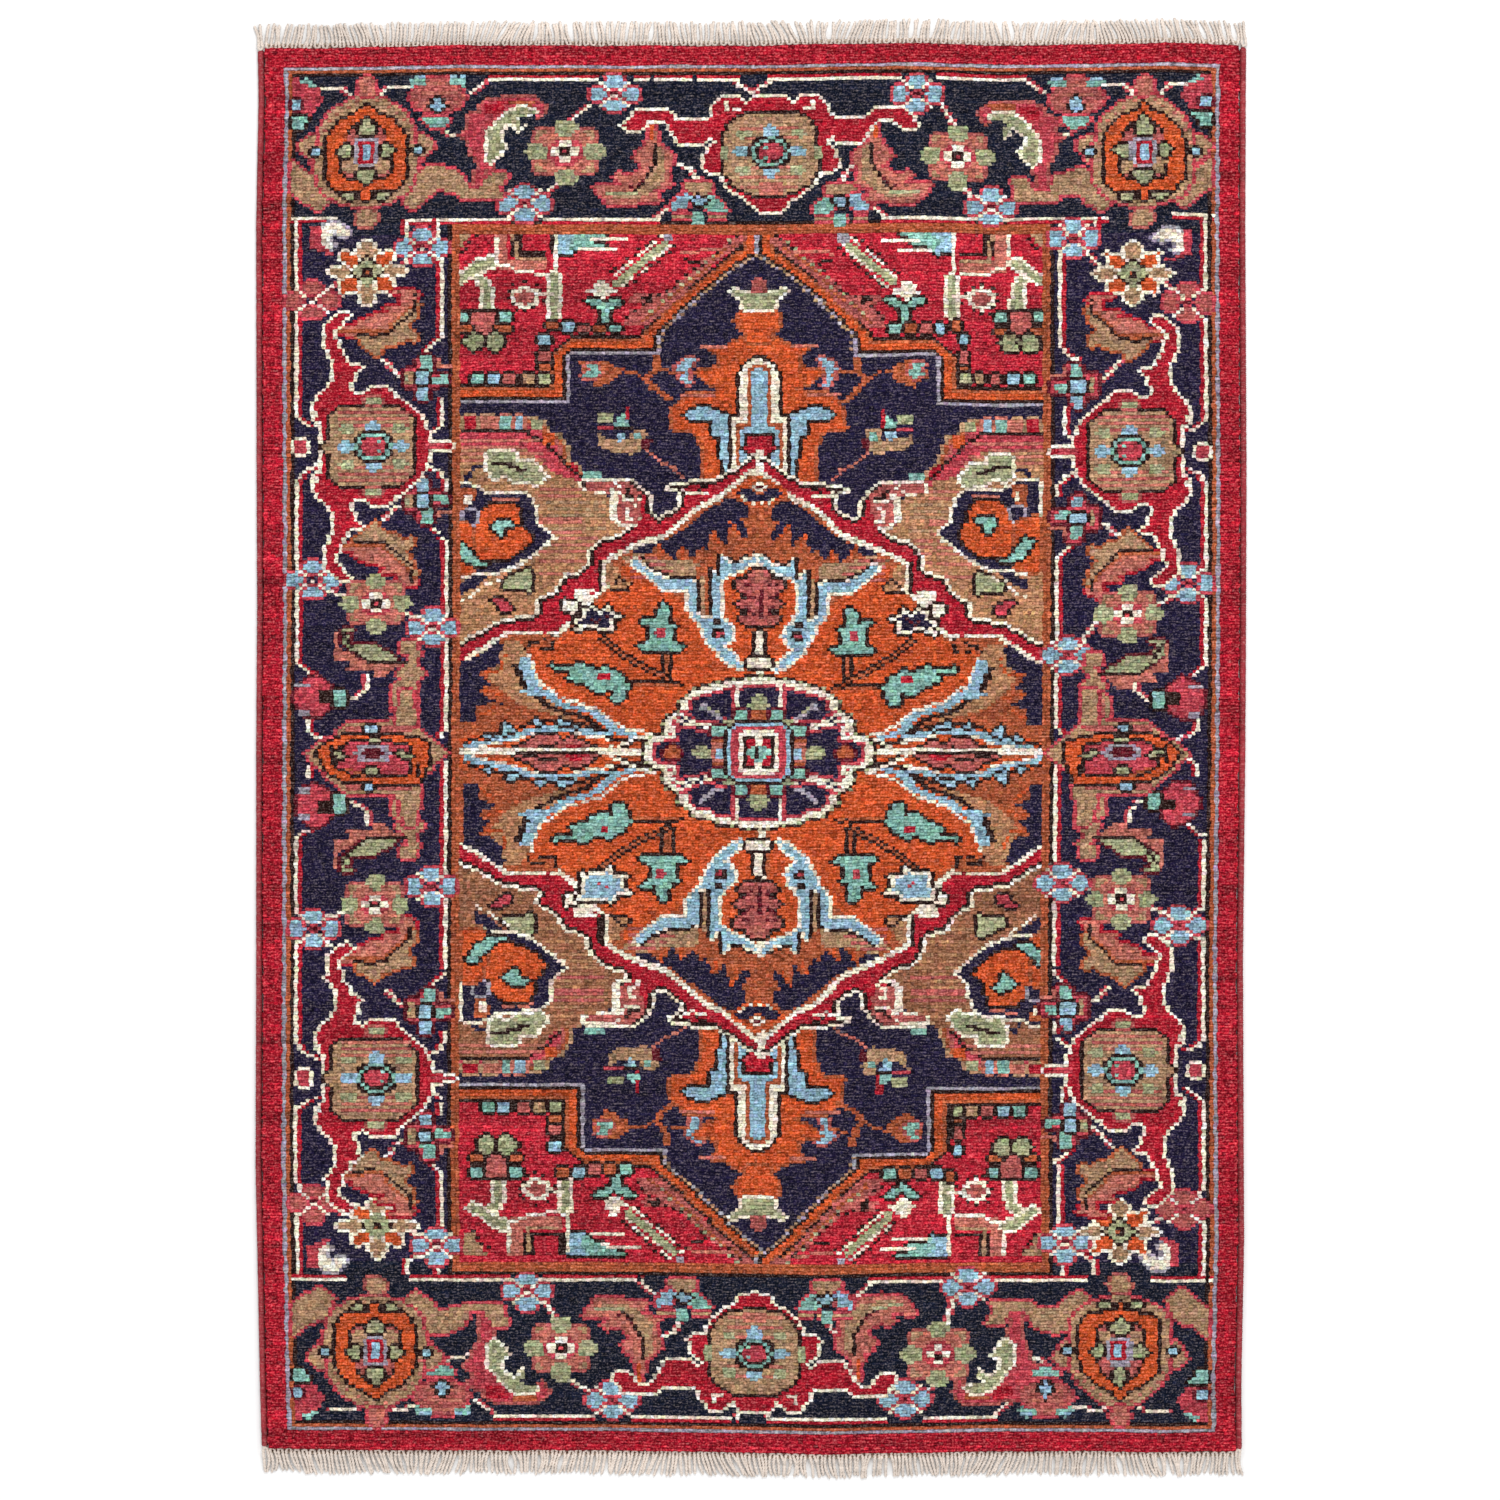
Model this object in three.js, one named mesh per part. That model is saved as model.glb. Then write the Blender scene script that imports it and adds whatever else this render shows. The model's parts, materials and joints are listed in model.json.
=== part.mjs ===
// Hand-knotted wool area rug, lying flat. Millimetres, +Z up, warps along Y.
// Origin: the middle of the rug's footprint, on the floor.
import * as THREE from 'three';

// Driving dimensions of the knotting
const KNOT_WIDTH = 4.96;        // one knot across the rug
const KNOT_HEIGHT = 4.1;        // one row of knots along the rug
const HALF_COLUMNS = 124;       // knots from the middle to a side
const HALF_ROWS = 216;          // rows from the middle to an end

// Heights above the floor
const WEAVE_THICKNESS = 3;      // cotton warps and wefts with the backs of the knots
const RUG_THICKNESS = 12;       // to the cut tips of the pile
const KILIM_THICKNESS = 2.6;
const STITCH_THICKNESS = 3.2;
const FRINGE_THICKNESS = 2.8;

// Ends and sides
const GAP = 0.3;                // clearance between neighbouring solids
const KILIM_WIDTH = 3.8;        // plain-woven band beyond the last row of knots
const STITCH_WIDTH = 2.6;       // twined locking row
const FRINGE_HEADING = 3;       // closed part of the loops, next to the locking row
const FRINGE_LENGTH = 26;       // heading and free ends together
const FRINGE_LOOPS = 96;        // warp loops at each end
const SELVEDGE_WIDTH = 9.6;     // overcast side cord
const SELVEDGE_HEIGHT = 7.4;
const OVERCAST_WALL = 1.6;      // thickness of the wrapped wool
const SELVEDGE_SIDES = 16;

// Design areas, as distances from the middle: [knots across, rows along]
const FIELD = [75, 159];
const INNER_GUARD = [77, 162];
const MAIN_BORDER = [116, 207];
const GUARD_STRIPES = [119, 210];
const PILE = [HALF_COLUMNS, HALF_ROWS];

// Lines between the grounds of the field, for the quarter where X and Y are positive.
// Each runs from the middle line of the rug out to the edge of the field.
const SPANDREL_LINE = [[0, FIELD[1]], [3, 156], [25, 122], [47, 122], [47, 106], [FIELD[0], 106]];
const CAMEL_LINE = [[17, 72], [22, 79], [38, 84], [50, 98], [62, 104], [FIELD[0], 106]];
const MEDALLION_LINE = [[0, 84], [17, 72], [36, 60], [40, 50], [52, 39], [FIELD[0], 29]];

// Colours of the yarns, one for each area
const YARNS = {
  cotton: 0xd9cdb8,
  fringe: 0xe6dcc8,
  overcast: 0x8a3a3e,
  red: 0xb02a3c,
  guard: 0x8f8a86,
  navy: 0x1f2540,
  rust: 0xa4644a,
  spandrel: 0xb8404a,
  camel: 0x967455,
  orange: 0xc25a2a,
};

const group = new THREE.Group();

function addMesh(name, geometry, yarn) {
  const material = new THREE.MeshStandardMaterial({ color: YARNS[yarn], roughness: 0.95, metalness: 0 });
  const mesh = new THREE.Mesh(geometry, material);
  mesh.name = name;
  group.add(mesh);
  return mesh;
}

// Knot counts to millimetres
function toRug([column, row]) {
  return new THREE.Vector2(column * KNOT_WIDTH, row * KNOT_HEIGHT);
}

// Moves every edge of an outline inwards, so that neighbouring areas keep GAP between them
function inset(points, distance) {
  const outline = THREE.ShapeUtils.isClockWise(points) ? points.slice().reverse() : points;
  return outline.map((corner, i) => {
    const before = outline[(i + outline.length - 1) % outline.length];
    const after = outline[(i + 1) % outline.length];
    const arriving = corner.clone().sub(before).normalize();
    const leaving = after.clone().sub(corner).normalize();
    const normalIn = new THREE.Vector2(-arriving.y, arriving.x);
    const normalOut = new THREE.Vector2(-leaving.y, leaving.x);
    const bisector = normalIn.add(normalOut).normalize();
    return corner.clone().addScaledVector(bisector, distance / bisector.dot(normalOut));
  });
}

function slab(points, bottom, top) {
  const settings = { depth: top - bottom, bevelEnabled: false, steps: 1 };
  const geometry = new THREE.ExtrudeGeometry(new THREE.Shape(points), settings);
  return geometry.translate(0, 0, bottom);
}

function rectangle(x0, x1, y0, y1) {
  return [[x0, y0], [x1, y0], [x1, y1], [x0, y1]].map(([x, y]) => new THREE.Vector2(x, y));
}

// One area of pile, standing on the foundation; corners are in knots
function addPile(name, corners, yarn) {
  const outline = inset(corners.map(toRug), GAP / 2);
  addMesh(name, slab(outline, WEAVE_THICKNESS + GAP, RUG_THICKNESS), yarn);
}

function mirrored(corners, signX, signY) {
  return corners.map(([column, row]) => [column * signX, row * signY]);
}

// A frame of four strips: the two end strips run the full width
function addBorder(name, inner, outer, yarn) {
  for (const [end, sign] of [['top', 1], ['bottom', -1]]) {
    const strip = [[-outer[0], inner[1]], [outer[0], inner[1]], [outer[0], outer[1]], [-outer[0], outer[1]]];
    addPile(`${name}_${end}`, mirrored(strip, 1, sign), yarn);
  }
  for (const [side, sign] of [['right', 1], ['left', -1]]) {
    const strip = [[inner[0], -inner[1]], [outer[0], -inner[1]], [outer[0], inner[1]], [inner[0], inner[1]]];
    addPile(`${name}_${side}`, mirrored(strip, sign, 1), yarn);
  }
}

function addFieldCorner(end, signY, side, signX) {
  const spandrel = [...SPANDREL_LINE, FIELD];
  addPile(`corner_spandrel_${end}_${side}`, mirrored(spandrel, signX, signY), 'spandrel');
  const medallionSide = MEDALLION_LINE.slice(1).reverse();
  const camel = [...CAMEL_LINE, ...medallionSide.slice(0, -1)];
  addPile(`camel_ground_${end}_${side}`, mirrored(camel, signX, signY), 'camel');
}

// The dark ground between the arch of the spandrels and the medallion
function addNavyGround(end, signY) {
  const half = [...MEDALLION_LINE.slice(0, 1), ...CAMEL_LINE, ...SPANDREL_LINE.slice(1, -1).reverse()];
  const otherHalf = mirrored(half.slice(1), -1, 1).reverse();
  const outline = [...half, [0, FIELD[1]], ...otherHalf];
  addPile(`navy_ground_${end}`, mirrored(outline, 1, signY), 'navy');
}

function addMedallion() {
  const upper = [...MEDALLION_LINE.slice().reverse(), ...mirrored(MEDALLION_LINE.slice(1), -1, 1)];
  const lower = mirrored(upper, 1, -1).reverse();
  addPile('medallion', [...upper, ...lower], 'orange');
}

// Kilim band, locking row and warp fringe, outwards from the last row of knots
function addEnd(end, sign) {
  const halfWidth = HALF_COLUMNS * KNOT_WIDTH;
  const flip = (points) => points.map((point) => new THREE.Vector2(point.x, point.y * sign));
  const kilimStart = HALF_ROWS * KNOT_HEIGHT + GAP;
  const kilim = rectangle(-halfWidth, halfWidth, kilimStart, kilimStart + KILIM_WIDTH);
  addMesh(`kilim_end_${end}`, slab(flip(kilim), 0, KILIM_THICKNESS), 'cotton');
  const stitchStart = kilimStart + KILIM_WIDTH + GAP;
  const stitch = rectangle(-halfWidth, halfWidth, stitchStart, stitchStart + STITCH_WIDTH);
  addMesh(`locking_stitch_${end}`, slab(flip(stitch), 0, STITCH_THICKNESS), 'cotton');
  const fringeStart = stitchStart + STITCH_WIDTH + GAP;
  const fringe = fringeOutline(halfWidth, fringeStart);
  addMesh(`fringe_${end}`, slab(flip(fringe), 0, FRINGE_THICKNESS), 'fringe');
}

// A comb: the closed heads of the loops side by side, and their free ends with a gap between
function fringeOutline(halfWidth, start) {
  const pitch = 2 * halfWidth / FRINGE_LOOPS;
  const looseGap = pitch * 0.3;
  const headingEnd = start + FRINGE_HEADING;
  const tip = start + FRINGE_LENGTH;
  const points = [new THREE.Vector2(-halfWidth, start), new THREE.Vector2(halfWidth, start)];
  for (let loop = FRINGE_LOOPS - 1; loop >= 0; loop -= 1) {
    const left = -halfWidth + loop * pitch;
    const outline = [
      [left + pitch - looseGap / 2, headingEnd],
      [left + pitch - looseGap / 2, tip],
      [left + looseGap / 2, tip],
      [left + looseGap / 2, headingEnd],
    ];
    points.push(...outline.map(([x, y]) => new THREE.Vector2(x, y)));
  }
  points.splice(2, 0, new THREE.Vector2(halfWidth, headingEnd));
  points.push(new THREE.Vector2(-halfWidth, headingEnd));
  return points;
}

function ellipse(halfWidth, halfHeight) {
  const points = [];
  for (let i = 0; i < SELVEDGE_SIDES; i += 1) {
    const angle = (i / SELVEDGE_SIDES) * Math.PI * 2;
    points.push(new THREE.Vector2(halfWidth * Math.cos(angle), halfHeight * Math.sin(angle)));
  }
  return points;
}

// Side cord: cotton core in a wool overcasting that is open at both ends
function addSelvedge(side, sign) {
  const length = 2 * HALF_ROWS * KNOT_HEIGHT;
  const centre = sign * (HALF_COLUMNS * KNOT_WIDTH + GAP + SELVEDGE_WIDTH / 2);
  const place = (shape) => {
    const geometry = new THREE.ExtrudeGeometry(shape, { depth: length, bevelEnabled: false, steps: 1 });
    geometry.translate(0, 0, -length / 2);
    geometry.rotateX(Math.PI / 2);
    return geometry.translate(centre, 0, SELVEDGE_HEIGHT / 2);
  };
  const outer = new THREE.Shape(ellipse(SELVEDGE_WIDTH / 2, SELVEDGE_HEIGHT / 2));
  const boreWidth = SELVEDGE_WIDTH / 2 - OVERCAST_WALL;
  const boreHeight = SELVEDGE_HEIGHT / 2 - OVERCAST_WALL;
  outer.holes.push(new THREE.Path(ellipse(boreWidth, boreHeight)));
  addMesh(`selvedge_overcast_${side}`, place(outer), 'overcast');
  const core = new THREE.Shape(ellipse(boreWidth - GAP, boreHeight - GAP));
  addMesh(`selvedge_core_${side}`, place(core), 'cotton');
}

function addFoundation() {
  const halfWidth = HALF_COLUMNS * KNOT_WIDTH;
  const halfLength = HALF_ROWS * KNOT_HEIGHT;
  const outline = rectangle(-halfWidth, halfWidth, -halfLength, halfLength);
  addMesh('ground_weave', slab(outline, 0, WEAVE_THICKNESS), 'cotton');
}

addFoundation();
addBorder('outer_border', GUARD_STRIPES, PILE, 'red');
addBorder('guard_stripes', MAIN_BORDER, GUARD_STRIPES, 'guard');
addBorder('main_border', INNER_GUARD, MAIN_BORDER, 'navy');
addBorder('inner_guard', FIELD, INNER_GUARD, 'rust');
for (const [end, signY] of [['top', 1], ['bottom', -1]]) {
  addEnd(end, signY);
  addNavyGround(end, signY);
  for (const [side, signX] of [['right', 1], ['left', -1]]) {
    addFieldCorner(end, signY, side, signX);
  }
}
addMedallion();
addSelvedge('right', 1);
addSelvedge('left', -1);

export default group;
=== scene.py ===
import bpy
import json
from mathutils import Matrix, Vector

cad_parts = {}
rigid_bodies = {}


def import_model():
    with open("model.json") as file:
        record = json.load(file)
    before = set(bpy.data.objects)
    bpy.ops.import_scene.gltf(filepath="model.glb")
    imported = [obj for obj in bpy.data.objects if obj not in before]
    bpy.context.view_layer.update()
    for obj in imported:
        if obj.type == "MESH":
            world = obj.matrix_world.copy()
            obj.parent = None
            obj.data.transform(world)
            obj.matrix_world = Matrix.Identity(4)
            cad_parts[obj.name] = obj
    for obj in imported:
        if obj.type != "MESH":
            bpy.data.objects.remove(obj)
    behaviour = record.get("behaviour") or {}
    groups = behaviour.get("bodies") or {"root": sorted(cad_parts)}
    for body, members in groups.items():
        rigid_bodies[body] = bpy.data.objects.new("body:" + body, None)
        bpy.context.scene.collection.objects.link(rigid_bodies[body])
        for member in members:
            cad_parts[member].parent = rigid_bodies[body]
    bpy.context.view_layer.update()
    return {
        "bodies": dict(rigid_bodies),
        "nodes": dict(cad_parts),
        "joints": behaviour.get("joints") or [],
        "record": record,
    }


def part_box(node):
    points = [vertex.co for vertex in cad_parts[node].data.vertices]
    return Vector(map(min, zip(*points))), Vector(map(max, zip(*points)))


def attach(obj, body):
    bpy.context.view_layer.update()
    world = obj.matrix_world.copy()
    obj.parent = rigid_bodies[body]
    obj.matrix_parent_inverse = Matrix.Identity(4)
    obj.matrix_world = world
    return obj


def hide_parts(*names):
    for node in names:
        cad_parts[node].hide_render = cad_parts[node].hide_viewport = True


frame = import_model()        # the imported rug: bodies, nodes, joints, record

import json
import math
import bpy
import bmesh
import numpy as np
from mathutils import Vector

loom = {
    "columns": 248,          # knots across the pile
    "rows": 432,             # rows of knots from end to end
    "nap": 0.0008,           # height of the crown of a row over its groove
    "columnNap": 0.22,       # share of that between knots of one row
    "knotHeight": 0.00022,   # unevenness of the shearing
    "rowDrift": 0.0004,      # how far a row of knots wanders
    "columnDrift": 0.001,    # how far a knot leans to the side
    "mostDrift": 0.0011,     # and how far it leans at most
    "lowPile": 0.0007,       # dark brown wool wears down faster
    "pileGap": 0.0001,       # between the foot of the pile and the weave
    "knotShade": 0.2,        # how far single knots differ in shade
    "knotTint": 0.06,        # and in dye
    "rowShade": 0.07,        # how far whole rows differ in shade
    "seed": 11,
}
weaveLow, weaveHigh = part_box("ground_weave")
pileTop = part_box("medallion")[1].z
knotWide = (weaveHigh.x - weaveLow.x) / loom["columns"]
knotHigh = (weaveHigh.y - weaveLow.y) / loom["rows"]
halfColumns = loom["columns"] // 2
halfRows = loom["rows"] // 2
chance = np.random.default_rng(loom["seed"])

# how the sides and ends run in and out, in metres, from one end of the rug to the other
edgeRun = {
    "along": [-1, -0.9, -0.7, -0.6, -0.3, 0, 0.2, 0.4, 0.75, 0.93, 1],
    "left": [0.007, 0.0045, 0.001, -0.0008, 0, 0, 0.0012, 0.0005, 0, 0.003, 0.002],
    "right": [-0.0045, -0.005, -0.0015, -0.002, -0.003, 0, 0.001, 0.0015, 0, 0.0005, 0.001],
    "across": [-1, -0.9, -0.6, -0.3, 0, 0.15, 0.35, 0.5, 0.7, 0.85, 1],
    "top": [-0.0035, -0.003, 0, 0, 0, 0.002, 0.0035, 0, 0.0015, 0.004, 0],
    "bottom": [0.0035, 0.002, 0.001, 0.001, -0.002, -0.004, -0.0015, 0, 0, -0.0015, 0],
    "lift": 0.0009,          # gentle swell where the rug doesn't lie dead flat
}


def setCamera():
    # straight down from five metres, so that nothing leans
    view = {"width": 1.89, "lens": 100, "sensor": 36}
    data = bpy.data.cameras.new("camera")
    data.lens = view["lens"]
    data.sensor_width = view["sensor"]
    camera = bpy.data.objects.new("camera", data)
    camera.location = (-0.001, -0.002, pileTop + view["width"] * view["lens"] / view["sensor"])
    bpy.context.collection.objects.link(camera)
    bpy.context.scene.camera = camera


def setRoom():
    # a pale seamless floor, one large soft light from the top end and two weak fills
    room = {"floorSize": 30, "floorDrop": 0.0002, "floorShade": (0.96, 0.96, 0.96, 1), "air": 0.62}
    floor = bmesh.new()
    bmesh.ops.create_grid(floor, x_segments=1, y_segments=1, size=room["floorSize"] / 2)
    bmesh.ops.translate(floor, verts=floor.verts, vec=(0, 0, -room["floorDrop"]))
    ground = toObject(floor, "studio_floor")
    paint = bpy.data.materials.new("studio_floor")
    paint.use_nodes = True
    shader = paint.node_tree.nodes["Principled BSDF"]
    shader.inputs["Base Color"].default_value = room["floorShade"]
    shader.inputs["Roughness"].default_value = 0.9
    ground.data.materials.append(paint)
    world = bpy.data.worlds.new("studio")
    world.use_nodes = True
    world.node_tree.nodes["Background"].inputs["Color"].default_value = (1, 1, 1, 1)
    world.node_tree.nodes["Background"].inputs["Strength"].default_value = room["air"]
    bpy.context.scene.world = world
    lamps = [   # name, place, size, watts
        ("key", (0.5, 1.9, 3.0), 1.4, 60),
        ("fill_left", (-2.8, -1.8, 2.6), 2.2, 36),
        ("fill_right", (2.8, -2.1, 2.6), 2.2, 36),
    ]
    for name, spot, size, watts in lamps:
        data = bpy.data.lights.new(name, "AREA")
        data.size = size
        data.energy = watts
        lamp = bpy.data.objects.new(name, data)
        lamp.location = spot
        lamp.rotation_euler = (-Vector(spot)).to_track_quat("-Z", "Y").to_euler()
        bpy.context.collection.objects.link(lamp)
    bpy.context.scene.view_settings.view_transform = "Standard"


def toObject(bm, name):
    mesh = bpy.data.meshes.new(name)
    bm.to_mesh(mesh)
    bm.free()
    piece = bpy.data.objects.new(name, mesh)
    bpy.context.collection.objects.link(piece)
    return piece


setCamera()
setRoom()
print("stage: camera and room")

# dyed wools, as the eye reads them (0 to 255), turned to linear light below
wools = {
    "crimson": (174, 20, 42),
    "madder": (184, 30, 50),
    "rose": (188, 62, 76),
    "dullPink": (178, 88, 84),
    "salmon": (190, 108, 94),
    "maroon": (92, 12, 30),
    "navy": (30, 25, 56),
    "ink": (19, 26, 46),
    "orange": (204, 82, 36),
    "rust": (172, 84, 50),
    "camel": (178, 126, 90),
    "umber": (152, 98, 70),
    "tan": (172, 134, 102),
    "ivory": (252, 236, 214),
    "sky": (146, 184, 204),
    "mint": (130, 180, 168),
    "sage": (162, 164, 126),
    "blueGrey": (160, 152, 166),
    "brown": (38, 15, 14),
}
woolNames = list(wools)


def toLinear(shade):
    value = np.asarray(shade, float) / 255
    return np.where(value <= 0.04045, value / 12.92, ((value + 0.055) / 1.055) ** 2.4)


dyes = np.array([toLinear(wools[name]) for name in woolNames])
chart = np.full((loom["rows"], loom["columns"]), woolNames.index("navy"), int)


def covered(points):
    # the knots whose middle lies inside an outline
    us = [u for u, v in points]
    vs = [v for u, v in points]
    first = max(math.floor(min(us)), -halfColumns)
    last = min(math.ceil(max(us)), halfColumns)
    low = max(math.floor(min(vs)), -halfRows)
    high = min(math.ceil(max(vs)), halfRows)
    mask = np.zeros(chart.shape, bool)
    if last <= first or high <= low:
        return mask
    u = np.arange(first, last)[None, :] + 0.5
    v = np.arange(low, high)[:, None] + 0.5
    inside = np.zeros((high - low, last - first), bool)
    for (au, av), (bu, bv) in zip(points, points[1:] + points[:1]):
        if av != bv:
            inside ^= ((av > v) != (bv > v)) & (u < (bu - au) * (v - av) / (bv - av) + au)
    mask[low + halfRows:high + halfRows, first + halfColumns:last + halfColumns] = inside
    return mask


def grown(mask):
    # one knot more all round
    wide = mask.copy()
    wide[1:] |= mask[:-1]
    wide[:-1] |= mask[1:]
    wide[:, 1:] |= mask[:, :-1]
    wide[:, :-1] |= mask[:, 1:]
    return wide


def crossed(points, width=1):
    # the knots that a line runs through
    mask = np.zeros(chart.shape, bool)
    for (au, av), (bu, bv) in zip(points, points[1:]):
        t = np.linspace(0, 1, 1 + max(1, round(max(abs(bu - au), abs(bv - av)))))
        for i in range(width):
            shift = i - (width - 1) / 2
            column = np.floor(au + (bu - au) * t + shift).astype(int) + halfColumns
            row = np.floor(av + (bv - av) * t).astype(int) + halfRows
            keep = (column >= 0) & (column < loom["columns"]) & (row >= 0) & (row < loom["rows"])
            mask[row[keep], column[keep]] = True
    return mask


def mirrors(mirror):
    for flipU in ((1, -1) if "u" in mirror else (1,)):
        for flipV in ((1, -1) if "v" in mirror else (1,)):
            yield flipU, flipV


def placed(points, at, flipU, flipV):
    # at is the middle of a motif and the way it faces: u, v, left-right, up-down
    return [(at[0] + at[2] * flipU * u, at[1] + at[3] * flipV * v) for u, v in points]


def weave(points, wool, edge=None, at=(0, 0, 1, 1), mirror=""):
    mask = np.zeros(chart.shape, bool)
    for flipU, flipV in mirrors(mirror):
        mask |= covered(placed(points, at, flipU, flipV))
    if edge:
        chart[grown(mask) & ~mask] = woolNames.index(edge)
    chart[mask] = woolNames.index(wool)


def strand(points, wool, width=1, at=(0, 0, 1, 1), mirror=""):
    for flipU, flipV in mirrors(mirror):
        chart[crossed(placed(points, at, flipU, flipV), width)] = woolNames.index(wool)


def oblong(u0, v0, u1, v1):
    return [(u0, v0), (u1, v0), (u1, v1), (u0, v1)]


def diamond(u, v, wide, high):
    return [(u - wide, v), (u, v - high), (u + wide, v), (u, v + high)]


def oval(u, v, wide, high, sides=20):
    turns = [2 * math.pi * i / sides for i in range(sides)]
    return [(u + wide * math.cos(t), v + high * math.sin(t)) for t in turns]


# lines between the grounds, in knots from the middle; the same as in the frame
field = (75, 159)
innerGuard = (77, 162)
mainBorder = (116, 207)
guardStripes = (119, 210)
spandrelLine = [(0, 159), (3, 156), (25, 122), (47, 122), (47, 106), (75, 106)]
camelLine = [(17, 72), (22, 79), (38, 84), (50, 98), (62, 104), (75, 106)]
medallionLine = [(0, 84), (17, 72), (36, 60), (40, 50), (52, 39), (75, 29)]


def splitGrounds():
    # which CAD node each knot belongs to
    u = np.arange(-halfColumns, halfColumns)[None, :] + 0.5 + 0 * chart
    v = np.arange(-halfRows, halfRows)[:, None] + 0.5 + 0 * chart
    names = ["navy_ground_top", "navy_ground_bottom"]
    area = np.where(v > 0, 0, 1)
    for end, sideV in (("top", 1), ("bottom", -1)):
        for side, sideU in (("right", 1), ("left", -1)):
            for name, outline in (
                (f"corner_spandrel_{end}_{side}", spandrelLine + [field]),
                (f"camel_ground_{end}_{side}", camelLine + medallionLine[:0:-1]),
            ):
                names.append(name)
                area[covered(placed(outline, (0, 0, sideU, sideV), 1, 1))] = len(names) - 1
    names.append("medallion")
    right = medallionLine[::-1] + [(0, 0), (75, 0)]
    for sideU, sideV in ((1, 1), (1, -1), (-1, 1), (-1, -1)):
        area[covered(placed(right, (0, 0, sideU, sideV), 1, 1))] = len(names) - 1
    rings = [("inner_guard", field), ("main_border", innerGuard),
             ("guard_stripes", mainBorder), ("outer_border", guardStripes)]
    for name, inner in rings:
        parts = {"top": v > inner[1], "bottom": v < -inner[1],
                 "right": (u > inner[0]) & (abs(v) < inner[1]),
                 "left": (u < -inner[0]) & (abs(v) < inner[1])}
        for side, part in parts.items():
            names.append(f"{name}_{side}")
            area[part] = len(names) - 1
    return names, area


def drawBorders():
    size = (halfColumns, halfRows)
    for inner, outer, wool in (
        (guardStripes, size, "crimson"),
        ((118, 209), guardStripes, "blueGrey"),
        ((117, 208), (118, 209), "rust"),
        (mainBorder, (117, 208), "brown"),
        (innerGuard, mainBorder, "ink"),
    ):
        ring = (covered(oblong(-outer[0], -outer[1], *outer))
                & ~covered(oblong(-inner[0], -inner[1], *inner)))
        chart[ring] = woolNames.index(wool)


def insets(points, bands, at=(0, 0, 1, 1)):
    # nested bands, one knot each, from the outline inwards
    mask = covered(placed(points, at, 1, 1))
    for wool in bands:
        chart[mask] = woolNames.index(wool)
        mask &= ~grown(~mask)


def dotted(points, wool, every=2, at=(0, 0, 1, 1)):
    # single knots along a line
    for (au, av), (bu, bv) in zip(points, points[1:]):
        count = max(1, round(math.hypot(bu - au, bv - av) / every))
        for i in range(count):
            u, v = au + (bu - au) * i / count, av + (bv - av) * i / count
            strand([(u, v), (u, v)], wool, at=at)


def crossRosette(at):
    weave(oblong(-7.6, -6.6, 7.6, 6.6), "salmon", edge="dullPink", at=at)
    weave([(-7.6, 3), (-7.6, 6.6), (-4, 6.6)], "tan", at=at, mirror="uv")
    weave([(-2.6, 6.4), (-3.4, 8.4), (-1.6, 10), (1.4, 10), (3, 8.4), (2.4, 6.2), (1, 4.8), (-1.4, 4.8)],
          "sage", at=at, mirror="v")
    weave([(4.8, 1.6), (7, 3), (9, 2.6), (10.8, 0), (9, -2.4), (7, -2.8), (4.8, -1.6)], "sage", at=at,
          mirror="u")
    weave([(-4.4, 1.8), (-2.4, 3.8), (2.4, 3.8), (4.4, 1.8), (4.4, -1.8), (2.4, -3.8), (-2.4, -3.8),
           (-4.4, -1.8)], "rose", at=at)
    weave(oblong(-1.4, 1.4, 1.4, 3.4), "ivory", at=at, mirror="v")
    weave(oblong(1.4, -1.4, 3.8, 1.4), "ivory", at=at, mirror="u")
    weave(oblong(-1.5, -1.5, 1.5, 1.5), "brown", at=at)
    strand([(-0.2, -0.2), (0.2, -0.2)], "rose", at=at)


def edgeBlossom(at, petal="sky"):
    # the small flower that breaks the ivory edge line: four petals around a dotted cross
    weave([(-0.8, 1.6), (-2.6, 3.4), (-1.6, 5.6), (1.6, 5.6), (2.6, 3.4), (0.8, 1.6)], petal, edge="rose",
          at=at)
    weave([(-0.8, -1.6), (-2.8, -3.4), (-1.8, -5.4), (1.8, -5.4), (2.8, -3.4), (0.8, -1.6)], petal,
          edge="rose", at=at)
    weave([(1.8, 0), (4, 2.6), (6.2, 1.8), (6.2, -1.8), (4, -2.6)], petal, edge="rose", at=at, mirror="u")
    for line in ([(0.4, 0.4), (5, 5)], [(0.4, -0.4), (5, -5)]):
        dotted(line, "ivory", 1.5, at)
        dotted([(-u, v) for u, v in line], "ivory", 1.5, at)
    strand([(-0.4, 0), (0.4, 0)], "maroon", at=at)


def starRosette(at):
    petal = [(-1.6, 3.5), (-2.6, 5.5), (-1, 9.5), (1, 9.5), (2.6, 5.5), (1.6, 3.5)]
    weave(petal, "tan", edge="ivory", at=at, mirror="v")
    weave([(3.5, -1.4), (5, -2.2), (9.6, -0.6), (9.6, 0.6), (5, 2.2), (3.5, 1.4)], "tan", "ivory", at, "u")
    weave([(2, 2), (2.4, 5), (6.6, 6.4), (6, 3), (4.5, 1.6)], "orange", edge="ivory", at=at, mirror="uv")
    weave(diamond(0, 0, 4.6, 5), "brown", at=at)
    weave(diamond(0, 0, 3.8, 4.4), "sage", at=at)
    weave(oblong(-1.2, -1.2, 1.2, 1.2), "brown", at=at)
    weave(oblong(-0.5, -0.5, 0.5, 0.5), "rust", at=at)


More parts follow.
